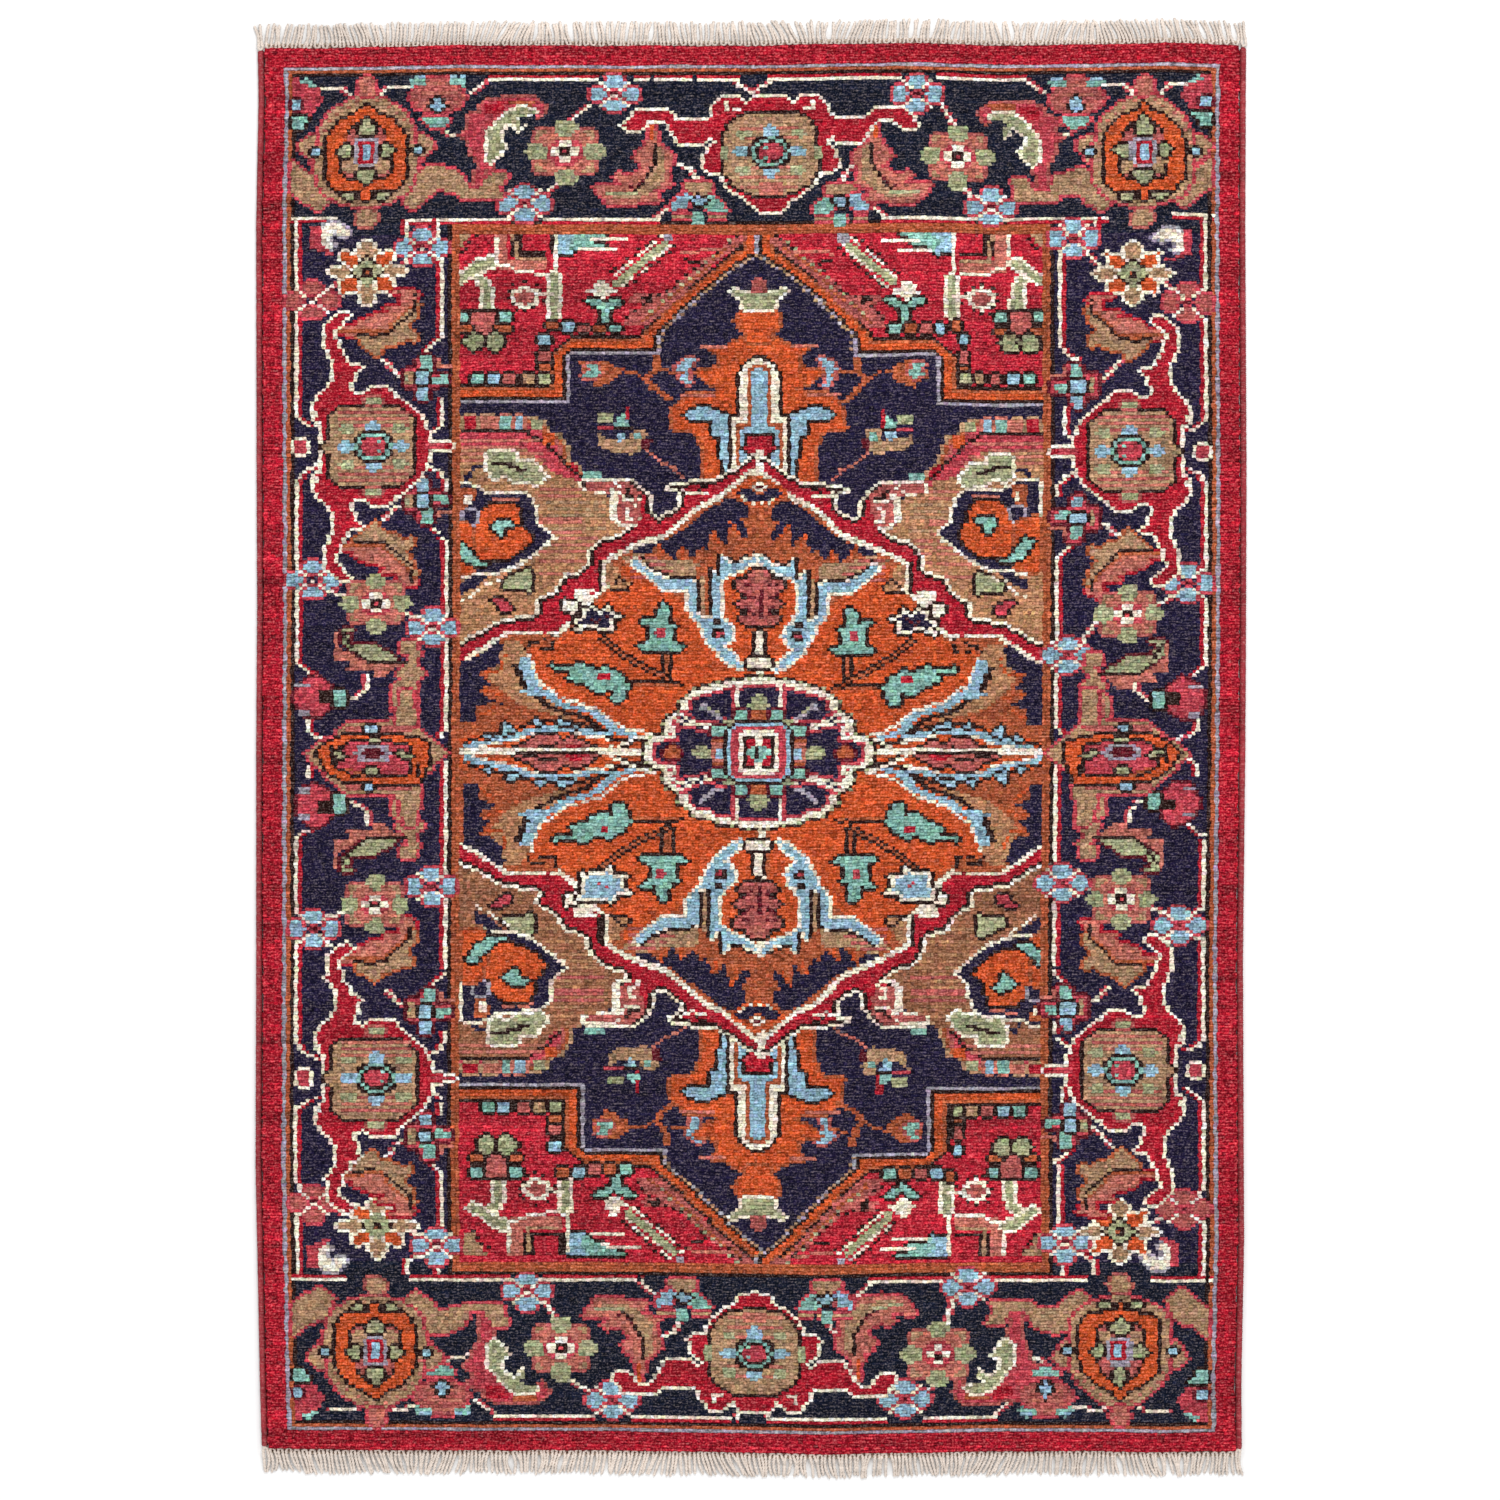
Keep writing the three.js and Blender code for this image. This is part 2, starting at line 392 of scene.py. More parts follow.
def turtleHeart(at):
    # the flower in the middle of a cartouche
    weave([(5, 4.6), (5, 7), (8, 7), (9, 5.4), (8, 4)], "sage", at=at, mirror="uv")
    weave(oval(0, 0, 5.8, 5.4, 12), "brown", at=at)
    weave(oval(0, 0, 4.9, 4.5, 12), "mint", at=at)
    weave(oval(0, 0, 3.9, 3.5, 12), "brown", at=at)
    weave(oval(0, 0, 3.2, 2.9, 12), "rose", at=at)
    dotted([(-1.5, 1.5), (1.5, 1.5)], "mint", 3, at)
    dotted([(-1.5, -1.5), (1.5, -1.5)], "mint", 3, at)
    weave([(5.4, -1.2), (5.4, 1.2), (7.4, 1.8), (9.4, 0.6), (9.4, -0.6), (7.4, -1.8)], "sky", at=at,
          mirror="u")
    weave([(-1.8, 5), (1.8, 5), (1.6, 7.4), (0, 8.6), (-1.6, 7.4)], "sky", at=at, mirror="v")


def sideTurtle(at):
    # red cartouche with arms, set along the side border; drawn as its upper half
    upper = [(-20, 0), (-20, 0.8), (-14, 1.2), (-13.6, 5), (-12, 9), (-9, 12.6), (-5.4, 15.4),
             (-4.4, 17.6), (1, 17.8), (3, 15.6), (5.6, 16.6), (5.4, 22.6), (3.2, 24.4), (6.6, 25.6),
             (7, 27.6), (9.4, 31), (9.6, 36), (8, 38), (6, 40), (7, 41.2), (9.4, 40.4), (12, 37.6),
             (12.5, 31), (10.6, 28.4), (10, 21), (12, 17.6), (14, 15.6), (15.4, 12), (15.4, 8.6),
             (12.6, 7), (13.4, 4), (12.8, 0)]
    weave(upper, "crimson", edge="ivory", at=at, mirror="v")
    weave([(-18, -0.9), (-18, 0.9), (-13, 1), (-13, -1)], "rose", at=at)
    weave([(13.6, 8.8), (14.6, 8.8), (14.6, 10.6), (13.6, 10.6)], "ivory", at=at, mirror="v")
    chest = [(-10.4, 0), (-10.4, 8), (-6.4, 12), (9, 12), (11.4, 9), (11.2, 2.4), (12.6, 1.4), (12.6, 0)]
    weave(chest, "tan", edge="brown", at=at, mirror="v")
    for v in (-10.5, -8.5, -6.5, 6.5, 8.5, 10.5):
        strand([(-8, v), (9, v)], "dullPink" if v % 4 > 2 else "salmon", at=at)
    turtleHeart(at)
    weave(oblong(-2, 13.4, 2, 15.4), "sage", edge="dullPink", at=at, mirror="v")


def endTurtle(at):
    # the same cartouche set across, at the middle of the end border; drawn as its right half
    half = [(0, 17), (4, 17), (6, 14.5), (8, 17), (12, 17), (13, 15.5), (14.3, 14.5), (14.5, 12), (16, 10),
            (24.5, 10), (26, 12.5), (34, 13), (35.5, 10.5), (37.5, 8), (36.5, 6.4), (33.5, 6.4), (32, 8.5),
            (30.5, 10), (28, 10), (26, 8), (24.5, 5.5), (23.5, 3), (17, 2.5), (15.5, 4.5), (13.5, 3.5),
            (16, 0.5), (17.2, -4.5), (16, -5.8), (12.5, -5.8), (11.5, -9.5), (9.5, -11.7), (6.5, -14),
            (4.5, -16), (3.5, -17.7), (0, -18.2)]
    weave(half, "crimson", edge="ivory", at=at, mirror="u")
    strand([(8.5, 13), (11, 13), (11, 15)], "ivory", at=at, mirror="u")
    chest = [(0, 12), (6, 12), (10, 9.5), (11.6, 6), (11.8, -6), (9.6, -10), (6.5, -12.4), (3.5, -13),
             (0, -13.5)]
    weave(chest, "tan", edge="brown", at=at, mirror="u")
    for v in (-11, -8, -5, 4.5, 7.5):
        strand([(-7, v), (7, v)], "salmon", at=at)
    weave(oblong(-3, -13, 3, -9.5), "salmon", at=at)
    turtleHeart(at)
    weave(oblong(11, -2.2, 13, 2), "sage", at=at, mirror="u")


def palmetteHeart(at):
    # the middle of a palmette: pale ring, four buds and the tan and pink between them
    weave([(0, 11), (4.2, 8), (6.4, 4.4), (6.8, -6.4), (4.8, -8.6), (0, -8.6)], "brown", at=at, mirror="u")
    weave([(0, 10), (3.6, 7.2), (5.6, 4), (5.8, -6), (4.4, -7.6), (0, -7.6)], "dullPink", at=at, mirror="u")
    weave([(2.4, -2), (6, -2), (5.4, -6.4), (2.4, -6.4)], "tan", at=at, mirror="u")
    weave([(0, 5.4), (1.8, 5.6), (2, 8), (0, 11)], "sage", edge="brown", at=at, mirror="u")
    weave([(0, -5.4), (2.4, -5.6), (2.2, -8), (0, -10.4)], "sage", edge="brown", at=at, mirror="u")
    weave([(4, -1.4), (4, 1.8), (5.6, 2.8), (7.4, 0.6), (5.6, -1.6)], "sage", edge="brown", at=at,
          mirror="u")
    weave([(0, 4.6), (2, 4.6), (3.4, 3), (3.4, -3), (2, -4.4), (0, -4.4)], "blueGrey", at=at, mirror="u")
    weave([(0, 3.4), (2, 3.4), (2, -3.4), (0, -3.4)], "crimson", at=at, mirror="u")
    weave([(0, 2.4), (1, 2.4), (1, -2.4), (0, -2.4)], "sky", at=at, mirror="u")


def octagonPalmette(at):
    weave([(11, 3), (13, 5.4), (16, 4.4), (17.4, 2.2), (15.6, -0.8), (13, -4)], "tan", edge="rose", at=at,
          mirror="u")
    weave([(0, 17), (3, 16.8), (7, 14.4), (10, 11.4), (12, 7), (12.6, -4), (12.4, -9), (10, -13.4),
           (5, -16), (0, -17)], "tan", edge="rose", at=at, mirror="u")
    for u, v in ((2.5, 15.5), (5, 14), (7.5, 12), (9.5, 9.5), (11, 6.5), (11.5, 3)):
        dotted([(u, v), (u, v - 0.1)], "salmon", 1, at)
        dotted([(-u, v), (-u, v - 0.1)], "salmon", 1, at)
    weave([(0, 15), (2, 12.4), (6, 10.4), (9, 7.2), (10, 3), (10, -8.4), (8, -11.4), (1, -11.6),
           (0.8, -14.4), (0, -14.6)], "orange", edge="brown", at=at, mirror="u")
    palmetteHeart(at)
    weave(oblong(5.4, 3.6, 9, 7), "orange", at=at, mirror="u")
    weave([(3, -10.6), (8, -10.6), (8, -7)], "orange", at=at, mirror="u")
    weave([(2.6, -13), (6, -13), (5, -15), (3, -15)], "sage", edge="brown", at=at, mirror="u")
    weave([(12.4, -0.6), (12.4, 1.4), (14.4, 1.4), (14.4, -0.6)], "sky", edge="brown", at=at, mirror="u")


def sidePalmette(at):
    # the palmette half way down a side, broad and low
    weave([(-19, 0), (-14, 5), (-10, 9), (-6, 11), (-3, 9), (3, 10), (7, 9), (10, 5), (14, 3), (17, 0),
           (14, -4), (10, -9), (7, -12), (2, -13), (-3, -12), (-6, -12.6), (-8, -22), (-11, -22),
           (-12, -14), (-12, -8)], "tan", edge="rose", at=at)
    weave([(-11, 8), (-10, 20), (-7, 20), (-6, 9)], "tan", edge="rose", at=at)
    for v in (-11, -9.6, 7, 8.4):
        strand([(-9, v), (7, v)], "dullPink", at=at)
    weave([(-14, 3.4), (-6, 5.4), (6, 5.8), (12, 3), (14.4, 0), (12, -5), (7, -8.4), (0, -9), (-12, -9.4),
           (-14, -3)], "orange", edge="brown", at=at)
    weave([(-9, 2.6), (-2, 3.4), (6, 3), (9, 0.6), (9, -4), (5, -6.4), (-4, -6.6), (-9, -6.4)], "rose",
          edge="brown", at=at)
    strand([(-11, -4), (-11, -7)], "brown", at=at)
    strand([(11, 2), (11, -3)], "brown", at=at)
    strand([(7, -5), (2, -7.4)], "rust", at=at)
    weave(oval(0, 0, 5, 3, 8), "blueGrey", edge="rose", at=at)
    weave(oval(0, 0, 3.4, 1.4, 8), "maroon", at=at)
    weave([(-2.4, 3), (1, 3.4), (1.4, 4.8), (-2, 4.4)], "sage", edge="brown", at=at)
    weave([(-1, -4), (2, -4), (2, -6.4), (-1, -6)], "sage", edge="brown", at=at)
    weave([(-10, -1), (-7, 1), (-6, -0.4), (-8, -1.2)], "sage", edge="brown", at=at)
    weave([(6.4, -0.8), (9, 1), (10.4, 0.2), (8, -1.6)], "sage", edge="brown", at=at)
    weave(diamond(0.4, 7.6, 2, 1.4), "sky", edge="brown", at=at)
    weave(diamond(1, -10.6, 2, 1.4), "sky", edge="brown", at=at)


def fanFlower(at):
    # opening flower seen from the side: pale lobes, red petals, a blue eye
    weave([(-7, 1.4), (-5, 4.4), (-2.4, 7.4), (2.4, 7.4), (5, 4.4), (7.4, 1.4), (6, -1.4), (3, -3.4),
           (-3, -3.4), (-6, -1.4)], "dullPink", edge="rose", at=at)
    for v in (-0.6, 2.4, 5.4):
        strand([(-4, v), (4, v)], "salmon", at=at)
    weave([(3, 4.8), (6.6, 4.4), (7.4, 6), (5, 7.6), (2.6, 6.8)], "mint", at=at, mirror="u")
    strand([(3.6, 7), (6, 7)], "sky", at=at, mirror="u")
    weave(diamond(0, -1.4, 3, 4), "brown", at=at)
    weave(diamond(0, -1.2, 1.8, 2.8), "sky", at=at)
    weave([(-3.6, -4.6), (3.6, -4.6), (3.4, -6.4), (1, -8), (-1, -8), (-3.4, -6.4)], "mint", edge="rose",
          at=at)


def curledLeaf(at):
    # serrated leaf, its tip turned up towards the cartouche
    blade = [(-0.6, 13), (0.8, 13), (0.6, 8.6), (1.4, 5), (3, 3.6), (4.6, 0.6), (2.4, -1), (2, -2),
             (3.6, -3.4), (5.6, -4.6), (7.6, -4.4), (8.6, -3), (9.2, -5.4), (7.6, -7), (10.6, -8.2),
             (13, -7), (14.2, -7.4), (13.8, -10), (11, -13), (5.6, -13.6), (1.4, -12.6), (-2.4, -12),
             (-0.4, -9), (-4.4, -7.6), (-5.6, -6.6), (-4.4, -6), (-4.6, -2.4), (-5.4, 0), (-5.4, 2.6),
             (-3.4, 4.6), (-1.4, 6.6)]
    weave(blade, "salmon", edge="rose", at=at)
    weave([(-3.6, 2.4), (-1.6, 4.6), (-1, -1), (1.6, -6), (4.6, -9.6), (9.6, -10.6), (9.6, -12),
           (4.6, -11.6), (0.6, -10.6), (-3.4, -6)], "tan", at=at)
    strand([(-0.8, 5), (-0.8, -1), (0.2, -3), (2.4, -7), (4.4, -9.6)], "brown", at=at)
    strand([(4.4, -9.6), (11, -10.4)], "sage", at=at)
    strand([(0, 12), (0.4, 7)], "orange", at=at)
    dotted([(2, -6), (6, -9.6)], "maroon", 2, at)


def hookedLeaf(at):
    # red blade with an ivory and sage hook folded over it
    weave([(-7.4, 6.6), (-5.4, 9.6), (2, 10), (8.4, 8.6), (9, 5), (11.4, 5.4), (12.4, 3.4), (11.4, 1),
           (13.6, -1.4), (12, -3), (10.4, -8), (9.4, -10), (9.8, -17.4), (7.8, -17.4), (7.6, -12),
           (6.4, -14), (6.4, -10), (7.4, -8), (6, -4), (5, 0), (2, 4), (-4, 6.8), (-6, 3.4)], "rose",
          edge="dullPink", at=at)
    weave([(-5, 9), (2, 9.4), (1, 7.6), (-4, 7.4)], "rust", at=at)
    weave([(2, 9.2), (8, 8), (8, 5), (5, 4.6), (3, 6.4)], "crimson", at=at)
    weave([(-5.4, 5.2), (-3, 6.8), (1.4, 6.4), (3.4, 4.6), (5.2, 1.6), (7, -1), (7.4, -5), (6.8, -10),
           (5, -8.6), (3.2, -6), (2.6, -4.4), (4.2, -3.6), (4.4, -1), (3, 1), (1.4, 2.6), (-0.4, 0.6),
           (-1.4, -1), (-1.6, 2), (0.6, 3.4), (-2.4, 4.4)], "sage", edge="ivory", at=at)
    strand([(-4, 4), (-1.4, 3.4), (-2.4, -0.6)], "ink", at=at)


def bladeLeaf(at):
    # broad leaf of the side border: pink over, tan under, a dark vein between
    weave([(-9, 9), (-6.5, 10), (-1, 10), (-4.5, 8.5), (-4.5, 5.5), (0.5, 5.5), (-1, 3.5), (3, 2.5),
           (6.5, 0.5), (7, -1), (13, -1.5), (13.5, -3.2), (7, -3.8), (2, -3.8), (-2, -2), (-7, 3.5)],
          "salmon", edge="crimson", at=at)
    weave([(-9, 7), (-7, 4.5), (-2.5, -0.5), (0, -3.8), (4, -4), (7, -3.6), (6, -6.5), (1.5, -10.5),
           (0.2, -7.5), (-4, -6), (-6, -4.5), (-8, -6), (-8, -3), (-6, -1), (-8, 2)], "tan", edge="rust",
          at=at)
    strand([(-7.5, 8), (-7, 3.5), (-3, -0.5), (-0.5, -3.8), (3, -4.2), (7, -3.5)], "brown", at=at)
    strand([(0, -3), (4, -3), (12, -2.5)], "rust", at=at)


def blueFlower(at):
    # small flower in profile, growing from the inner edge line
    weave([(-5.6, -2), (-1, -3.2), (-0.4, -7.4), (2.4, -7.4), (2.6, -3.6), (5.6, -3), (5.6, 3),
           (2.6, 3.4), (1.6, 7), (-1.6, 7), (-1.4, 1.4), (-5.6, 1)], "rose", edge="maroon", at=at)
    weave([(-0.4, -7), (2.2, -7), (2.4, -3.4), (-0.6, -3)], "sky", at=at)
    weave([(-5.4, -1.6), (-1.4, -2.6), (-1.4, 0.4), (-5.4, 0.6)], "mint", at=at)
    weave([(-1, 2.4), (2, 3), (1.4, 6.6), (-1.4, 6.6)], "mint", at=at)
    weave(oblong(-0.6, -2, 2.6, 1.6), "sky", edge="brown", at=at)
    weave(oblong(3.6, -2.4, 5.4, 2.4), "tan", at=at)
    weave(oblong(4, -0.8, 5.2, 0.8), "sage", at=at)
    strand([(-5.6, 3.4), (-2.6, 3.4), (-2.6, 5)], "salmon", at=at)


def bellFlower(at):
    # the same flower seen from the front, on the end borders
    weave([(-3, 2.4), (-3, 6), (3.6, 6), (4.4, 2.4)], "tan", edge="rose", at=at)
    weave([(-7, -3.4), (-6, -0.6), (-3.4, 2), (-1.6, 1.6), (-1.2, -1.6), (-3, -3.4)], "mint", edge="rose",
          at=at)
    weave([(1.6, 1.6), (3, 2.8), (5, 2.2), (7.6, -1), (6.8, -2.6), (3.4, -2)], "sky", edge="rose", at=at)
    weave([(-1.8, 0.4), (0, 1.8), (1.6, 1), (1.4, -1.8), (0, -1)], "sky", edge="brown", at=at)
    weave(oblong(-1.2, -7, 1.6, -3), "mint", at=at)
    for u in (-6.4, 2.4):
        strand([(u, -3.6), (u + 4.4, -3.6)], "rose", at=at)
        strand([(u, -4.6), (u + 4.4, -4.6)], "tan", at=at)
        strand([(u, -5.6), (u + 4.4, -5.6)], "rose", at=at)


def ribbedStem(at):
    # forked leaf rising beside the inner edge line
    weave([(-2.5, 12), (1.5, 12), (1.5, 8.5), (-1, 7.5), (0.5, 5), (2.5, 2), (1, 0), (3.5, -1),
           (3.5, -10), (-2.5, -10), (-2.5, -0.5), (-4.5, 2), (-2, 5), (-4, 8), (-2.5, 9)], "tan",
          edge="rose", at=at)
    weave(oblong(-1.5, -9, 2.5, -2), "salmon", at=at)
    weave([(1.5, 6), (4, 8), (8, 11), (14, 11), (15, 14.5), (13, 15.7), (17, 15.7), (16.5, 11), (13, 8),
           (10, 5.7), (1, 5.5)], "sage", edge="maroon", at=at)
    weave([(0, 6), (3, 3.5), (5.5, 1), (8.5, 1), (9, 3), (15, 3.5), (14, 6), (18.5, 6.5), (18.5, 14.5),
           (17, 15), (17.3, 10.5), (13, 7), (10, 5)], "salmon", at=at)
    strand([(0, 5.5), (10, 5.5), (14, 10), (16.5, 14)], "brown", at=at)


def whiteHorn(at):
    weave([(-3, -1), (0, 1.5), (4, 2), (5.5, -2), (5, -5.5), (1.5, -6), (3, -3.5), (2, -1), (-0.5, -2.2)],
          "ivory", edge="blueGrey", at=at)
    weave([(5, 1.5), (7.5, 1), (7.5, -5.5), (3, -8), (-1, -8.5), (3, -7), (5.5, -4)], "rose", at=at)


# the four quarters of the border differ a little, as they do when a weaver works by eye
quarterPlaces = {   # middle of each motif, in the quarters top left, top right, bottom left, bottom right
    "outerBlossom": ((35, 201), (42, 200.5), (35.5, 200.5), (39.5, 199.5)),
    "innerBlossom": ((57.5, 167.3), (61, 166), (57, 167), (55.5, 165.5)),
    "rosette": ((47.3, 183.3), (52.5, 181.5), (48.5, 184.5), (48, 186)),
    "hookedLeaf": ((60, 190), (65.5, 188.5), (59.5, 191.5), (59.5, 191)),
    "fan": ((80, 199), (82.5, 198.5), (79, 198), (75.5, 198)),
    "bell": ((13, 168), (22.5, 167.5), (17, 169), (19, 169)),
    "curledLeaf": ((25.5, 180.5), (31.5, 180.5), (28.5, 182.5), (27.5, 181)),
    "branch": ((0, 0), (3.5, -1.5), (-0.5, 1), (-2, 0.5)),
    "palmette": ((98, 183.7), (99.7, 182.8), (96, 185.7), (94.5, 185)),
    "horn": ((104, 160), (105, 157.5), (105, 159), (102, 158)),
    "star": ((97.5, 146.7), (97, 145.3), (95, 147), (94, 148.5)),
    "upperBlossom": ((83.5, 154), (82, 156.5), (80, 153), (80, 152)),
    "pinkBlossom": ((111.5, 138), (111, 136.5), (111, 140), (110.5, 141.5)),
    "upperLeaf": ((93, 131), (94, 129), (94, 134), (92.5, 133.5)),
    "upperBell": ((82.5, 114), (82, 111.5), (81.5, 119.5), (80.5, 116)),
    "turtle": ((96, 93), (96, 91), (95, 101.5), (95, 99)),
    "lowerBell": ((82.5, 76), (82, 70.5), (81.5, 80.5), (80, 79.5)),
    "lowerLeaf": ((94, 59.5), (94, 56.5), (93.5, 62), (93.5, 62.5)),
    "sideBlossom": ((111.5, 52), (111, 50.5), (111, 55.5), (109.5, 54.5)),
    "sideRosette": ((95.5, 44.7), (95.7, 41), (95.5, 48), (94.5, 46.5)),
    "lowBlossom": ((81, 37), (80.5, 28.5), (81, 42.5), (79.5, 41.5)),
    "stem": ((87.5, 21), (88, 17), (87.5, 22), (87, 22)),
    "bud": ((111, 16), (110.5, 15), (110.5, 17.5), (109, 17)),
}


def edgeLine(points, side, at):
    # ivory line with a red one beside it, away from the ground
    strand([(u + side[0], v + side[1]) for u, v in points], "crimson", at=at)
    strand(points, "ivory", at=at)


def edgeLines(near, at):
    # the ivory lines along the two edges of the border, from motif to motif
    def by(name, u, v):
        return (near[name][0] + u, near[name][1] + v)

    fan, palmette = near["fan"][0], near["palmette"][0]
    outer, inner = near["outerBlossom"][0], near["innerBlossom"][0]
    low = 163.2 if at[3] < 0 or at[0] < 0 else 162.4
    for points in ([(4, 205.5), (outer - 5, 205.5)], [(outer + 5, 205.5), (fan - 13, 205.5)]):
        edgeLine(points, (0, 1), at)
    for points in ([(near["bell"][0] + 11, low), (inner - 4.5, low)],
                   [(inner + 4.5, low), (palmette - 9, low)],
                   [(palmette + 8, low + 0.6), (117, low + 0.6)]):
        edgeLine(points, (0, -1), at)
    for points in (
        [(79.5, 162), (79.5, 158), by("upperBlossom", 0, 0.5)],
        [(87.5, 162), (87.5, 158), by("upperBlossom", 0, 0.5)],
        [(78.4, near["upperBlossom"][1] - 3), (78.3, near["upperBell"][1] + 13), by("upperBell", -3, 11),
         by("upperBell", 0.5, 7.5)],
        [(79, near["upperBell"][1] - 7), (79, near["turtle"][1] + 6.5), (82, near["turtle"][1] + 2.5)],
        [(82.5, near["turtle"][1] - 6.5), (79, near["turtle"][1] - 8.5), (77.5, near["turtle"][1] - 11),
         (77.5, near["turtle"][1] - 14)],
        [by("lowerBell", -0.5, -7.5), by("lowerBell", -3, -10), (77.5, near["lowerBell"][1] - 12.5),
         (77.5, near["lowBlossom"][1] + 4), (78, near["lowBlossom"][1] + 2)],
        [(77.5, near["lowBlossom"][1] - 3.5), (77.5, 6), (79, 3)],
    ):
        edgeLine(points, (1, 0), at)
    for points in (
        [(115.5, 162), (115.5, near["pinkBlossom"][1] + 4), by("pinkBlossom", 2, 2)],
        [by("pinkBlossom", 3, -3), (115.5, near["pinkBlossom"][1] - 6), (115.5, near["turtle"][1] + 9.5),
         (111, near["turtle"][1] + 6)],
        [(111, near["turtle"][1] - 6), (114, near["turtle"][1] - 7.5), (115.5, near["turtle"][1] - 10.5),
         (115.5, near["sideBlossom"][1] + 4), by("sideBlossom", 2, 3)],
        [by("sideBlossom", 2.5, -3.5), (115.5, near["sideBlossom"][1] - 5), (115.5, near["bud"][1] + 10),
         (110.5, near["bud"][1] + 6)],
        [(113, 9), (113, 5.5), (110, 3)],
    ):
        edgeLine(points, (-1, 0), at)
    for points in (
        [(4, 204.5), (0.5, 201.5)], [(fan - 13, 205), (fan - 8.5, 201)],
        [by("fan", 6, 4.5), (palmette - 5, 203.5), by("palmette", -2, 17)],
        [by("palmette", 4, 17), (palmette + 6.5, 203.5), (palmette + 12, 203.5)],
        [by("fan", 0, -8), by("fan", -2, -10), by("fan", -6.5, -11)],
        [by("outerBlossom", 5.5, -2.5), by("rosette", -1.5, 9.8)],
        [by("rosette", 2, -9.6), by("innerBlossom", -3.5, 1)],
        [by("bell", 7, 0), by("bell", 11, -4.5)],
        [by("bell", 0.5, 7), by("bell", 3, 10.5), by("bell", 7, 12)],
        [by("upperBlossom", 0, 0), by("star", -7.5, 1)], [by("star", 7.5, -3), by("pinkBlossom", 0, 0)],
        [by("upperBell", 11.5, 7), by("upperBell", 8.5, 2.5), by("upperBell", 5, -1)],
        [by("lowerBell", 4.5, -0.5), by("lowerBell", 8, -2), by("lowerBell", 11, -5.5)],
        [by("sideRosette", 7, 2.3), by("sideBlossom", -3.5, -3.5)],
        [by("bud", -13, 6), by("bud", -13, 2.5), by("bud", -11, 0), by("bud", -7, -1.5)],
        [by("lowBlossom", 0, 0), by("sideRosette", -8, -3)],
        [by("sideBlossom", -4, 5.5), by("sideBlossom", -1, 2)],
        [(109.5, 3), (106, 0)],
    ):
        strand(points, "rose", width=2, at=at)
        strand(points, "ivory", at=at)


def drawBud(at):
    weave([(-5, -2), (-4, 4), (-1, 7), (2, 5.5), (4.8, 2), (4.8, -1), (3, -5.5), (0, -6.5), (-4, -4)],
          "rose", edge="maroon", at=at)
    weave(oblong(-4, -1.5, -1, 2), "brown", at=at)
    weave(oblong(-8, -3.2, -5, 2), "mint", edge="brown", at=at)
    weave(oblong(1, 2.6, 4.5, 4), "blueGrey", at=at)
    weave(oblong(1, -5.5, 4, -4), "blueGrey", at=at)


def borderQuarter(number, flipU, flipV):
    near = {name: places[number] for name, places in quarterPlaces.items()}
    at = (0, 0, flipU, flipV)

    def spot(name, u=0, v=0, wide=1, high=1):
        return (flipU * (near[name][0] + u), flipV * (near[name][1] + v), flipU * wide, flipV * high)

    edgeLines(near, at)
    for name in ("outerBlossom", "innerBlossom", "upperBlossom", "sideBlossom", "lowBlossom"):
        edgeBlossom(spot(name))
    edgeBlossom(spot("pinkBlossom"), "dullPink")
    curledLeaf(spot("curledLeaf"))
    crossRosette(spot("rosette", wide=1 if number == 0 else 0.92))
    hookedLeaf(spot("hookedLeaf"))
    fanFlower(spot("fan"))
    bellFlower(spot("bell", high=flipV))
    weave([(62, 176.5), (66, 177), (69, 172), (72, 172.5), (74, 177), (80, 179.5), (84, 178), (88, 176),
           (88, 168), (86, 166), (82, 169), (80, 172), (75, 171), (74, 169.5), (63, 169.5), (64, 172)],
          "tan", edge="rose", at=spot("branch"))
    weave([(109, 176), (112, 177), (117, 181), (117, 172), (113, 168), (110, 166), (106, 169)], "tan",
          edge="rose", at=at)
    weave([(109, 200), (112, 206), (117, 207), (117, 192), (113, 194)], "rose", at=at)
    weave([(110.5, 204), (113.5, 207), (115, 205)], "mint", at=at)
    weave(oblong(114.5, 197, 117, 200), "sky", edge="maroon", at=at)
    weave([(112.5, 194.5), (117, 195), (117, 191), (114.5, 191)], "mint", edge="brown", at=at)
    octagonPalmette(spot("palmette"))
    weave(oval(0, 20, 2.4, 3.4, 8), "salmon", edge="rose", at=spot("palmette"))
    weave(oval(-0.4, -20.4, 2.8, 2.8, 8), "tan", edge="dullPink", at=spot("palmette"))
    whiteHorn(spot("horn"))
    starRosette(spot("star"))
    bladeLeaf(spot("upperLeaf"))
    bladeLeaf(spot("lowerLeaf", high=-1))
    blueFlower(spot("upperBell"))
    blueFlower(spot("lowerBell", high=-1))
    sideTurtle(spot("turtle"))
    weave(oblong(17, -2.4, 20, 2.4), "rose", edge="ivory", at=spot("turtle"))
    crossRosette(spot("sideRosette", wide=0.86, high=0.92))
    ribbedStem(spot("stem"))
    drawBud(spot("bud"))


def drawMainBorder():
    for side in (1, -1):
        weave(oblong(side * 77, -158, side * 116, 158), "navy")
    for number, (flipU, flipV) in enumerate(((-1, 1), (1, 1), (-1, -1), (1, -1))):
        borderQuarter(number, flipU, flipV)
    endTurtle((4.8, 183.3, 1, 1))
    endTurtle((1, -185.5, 0.97, -1))
    sidePalmette((-96, -1.5, -1, 1))
    sidePalmette((94.5, -1.5, 1, 1))


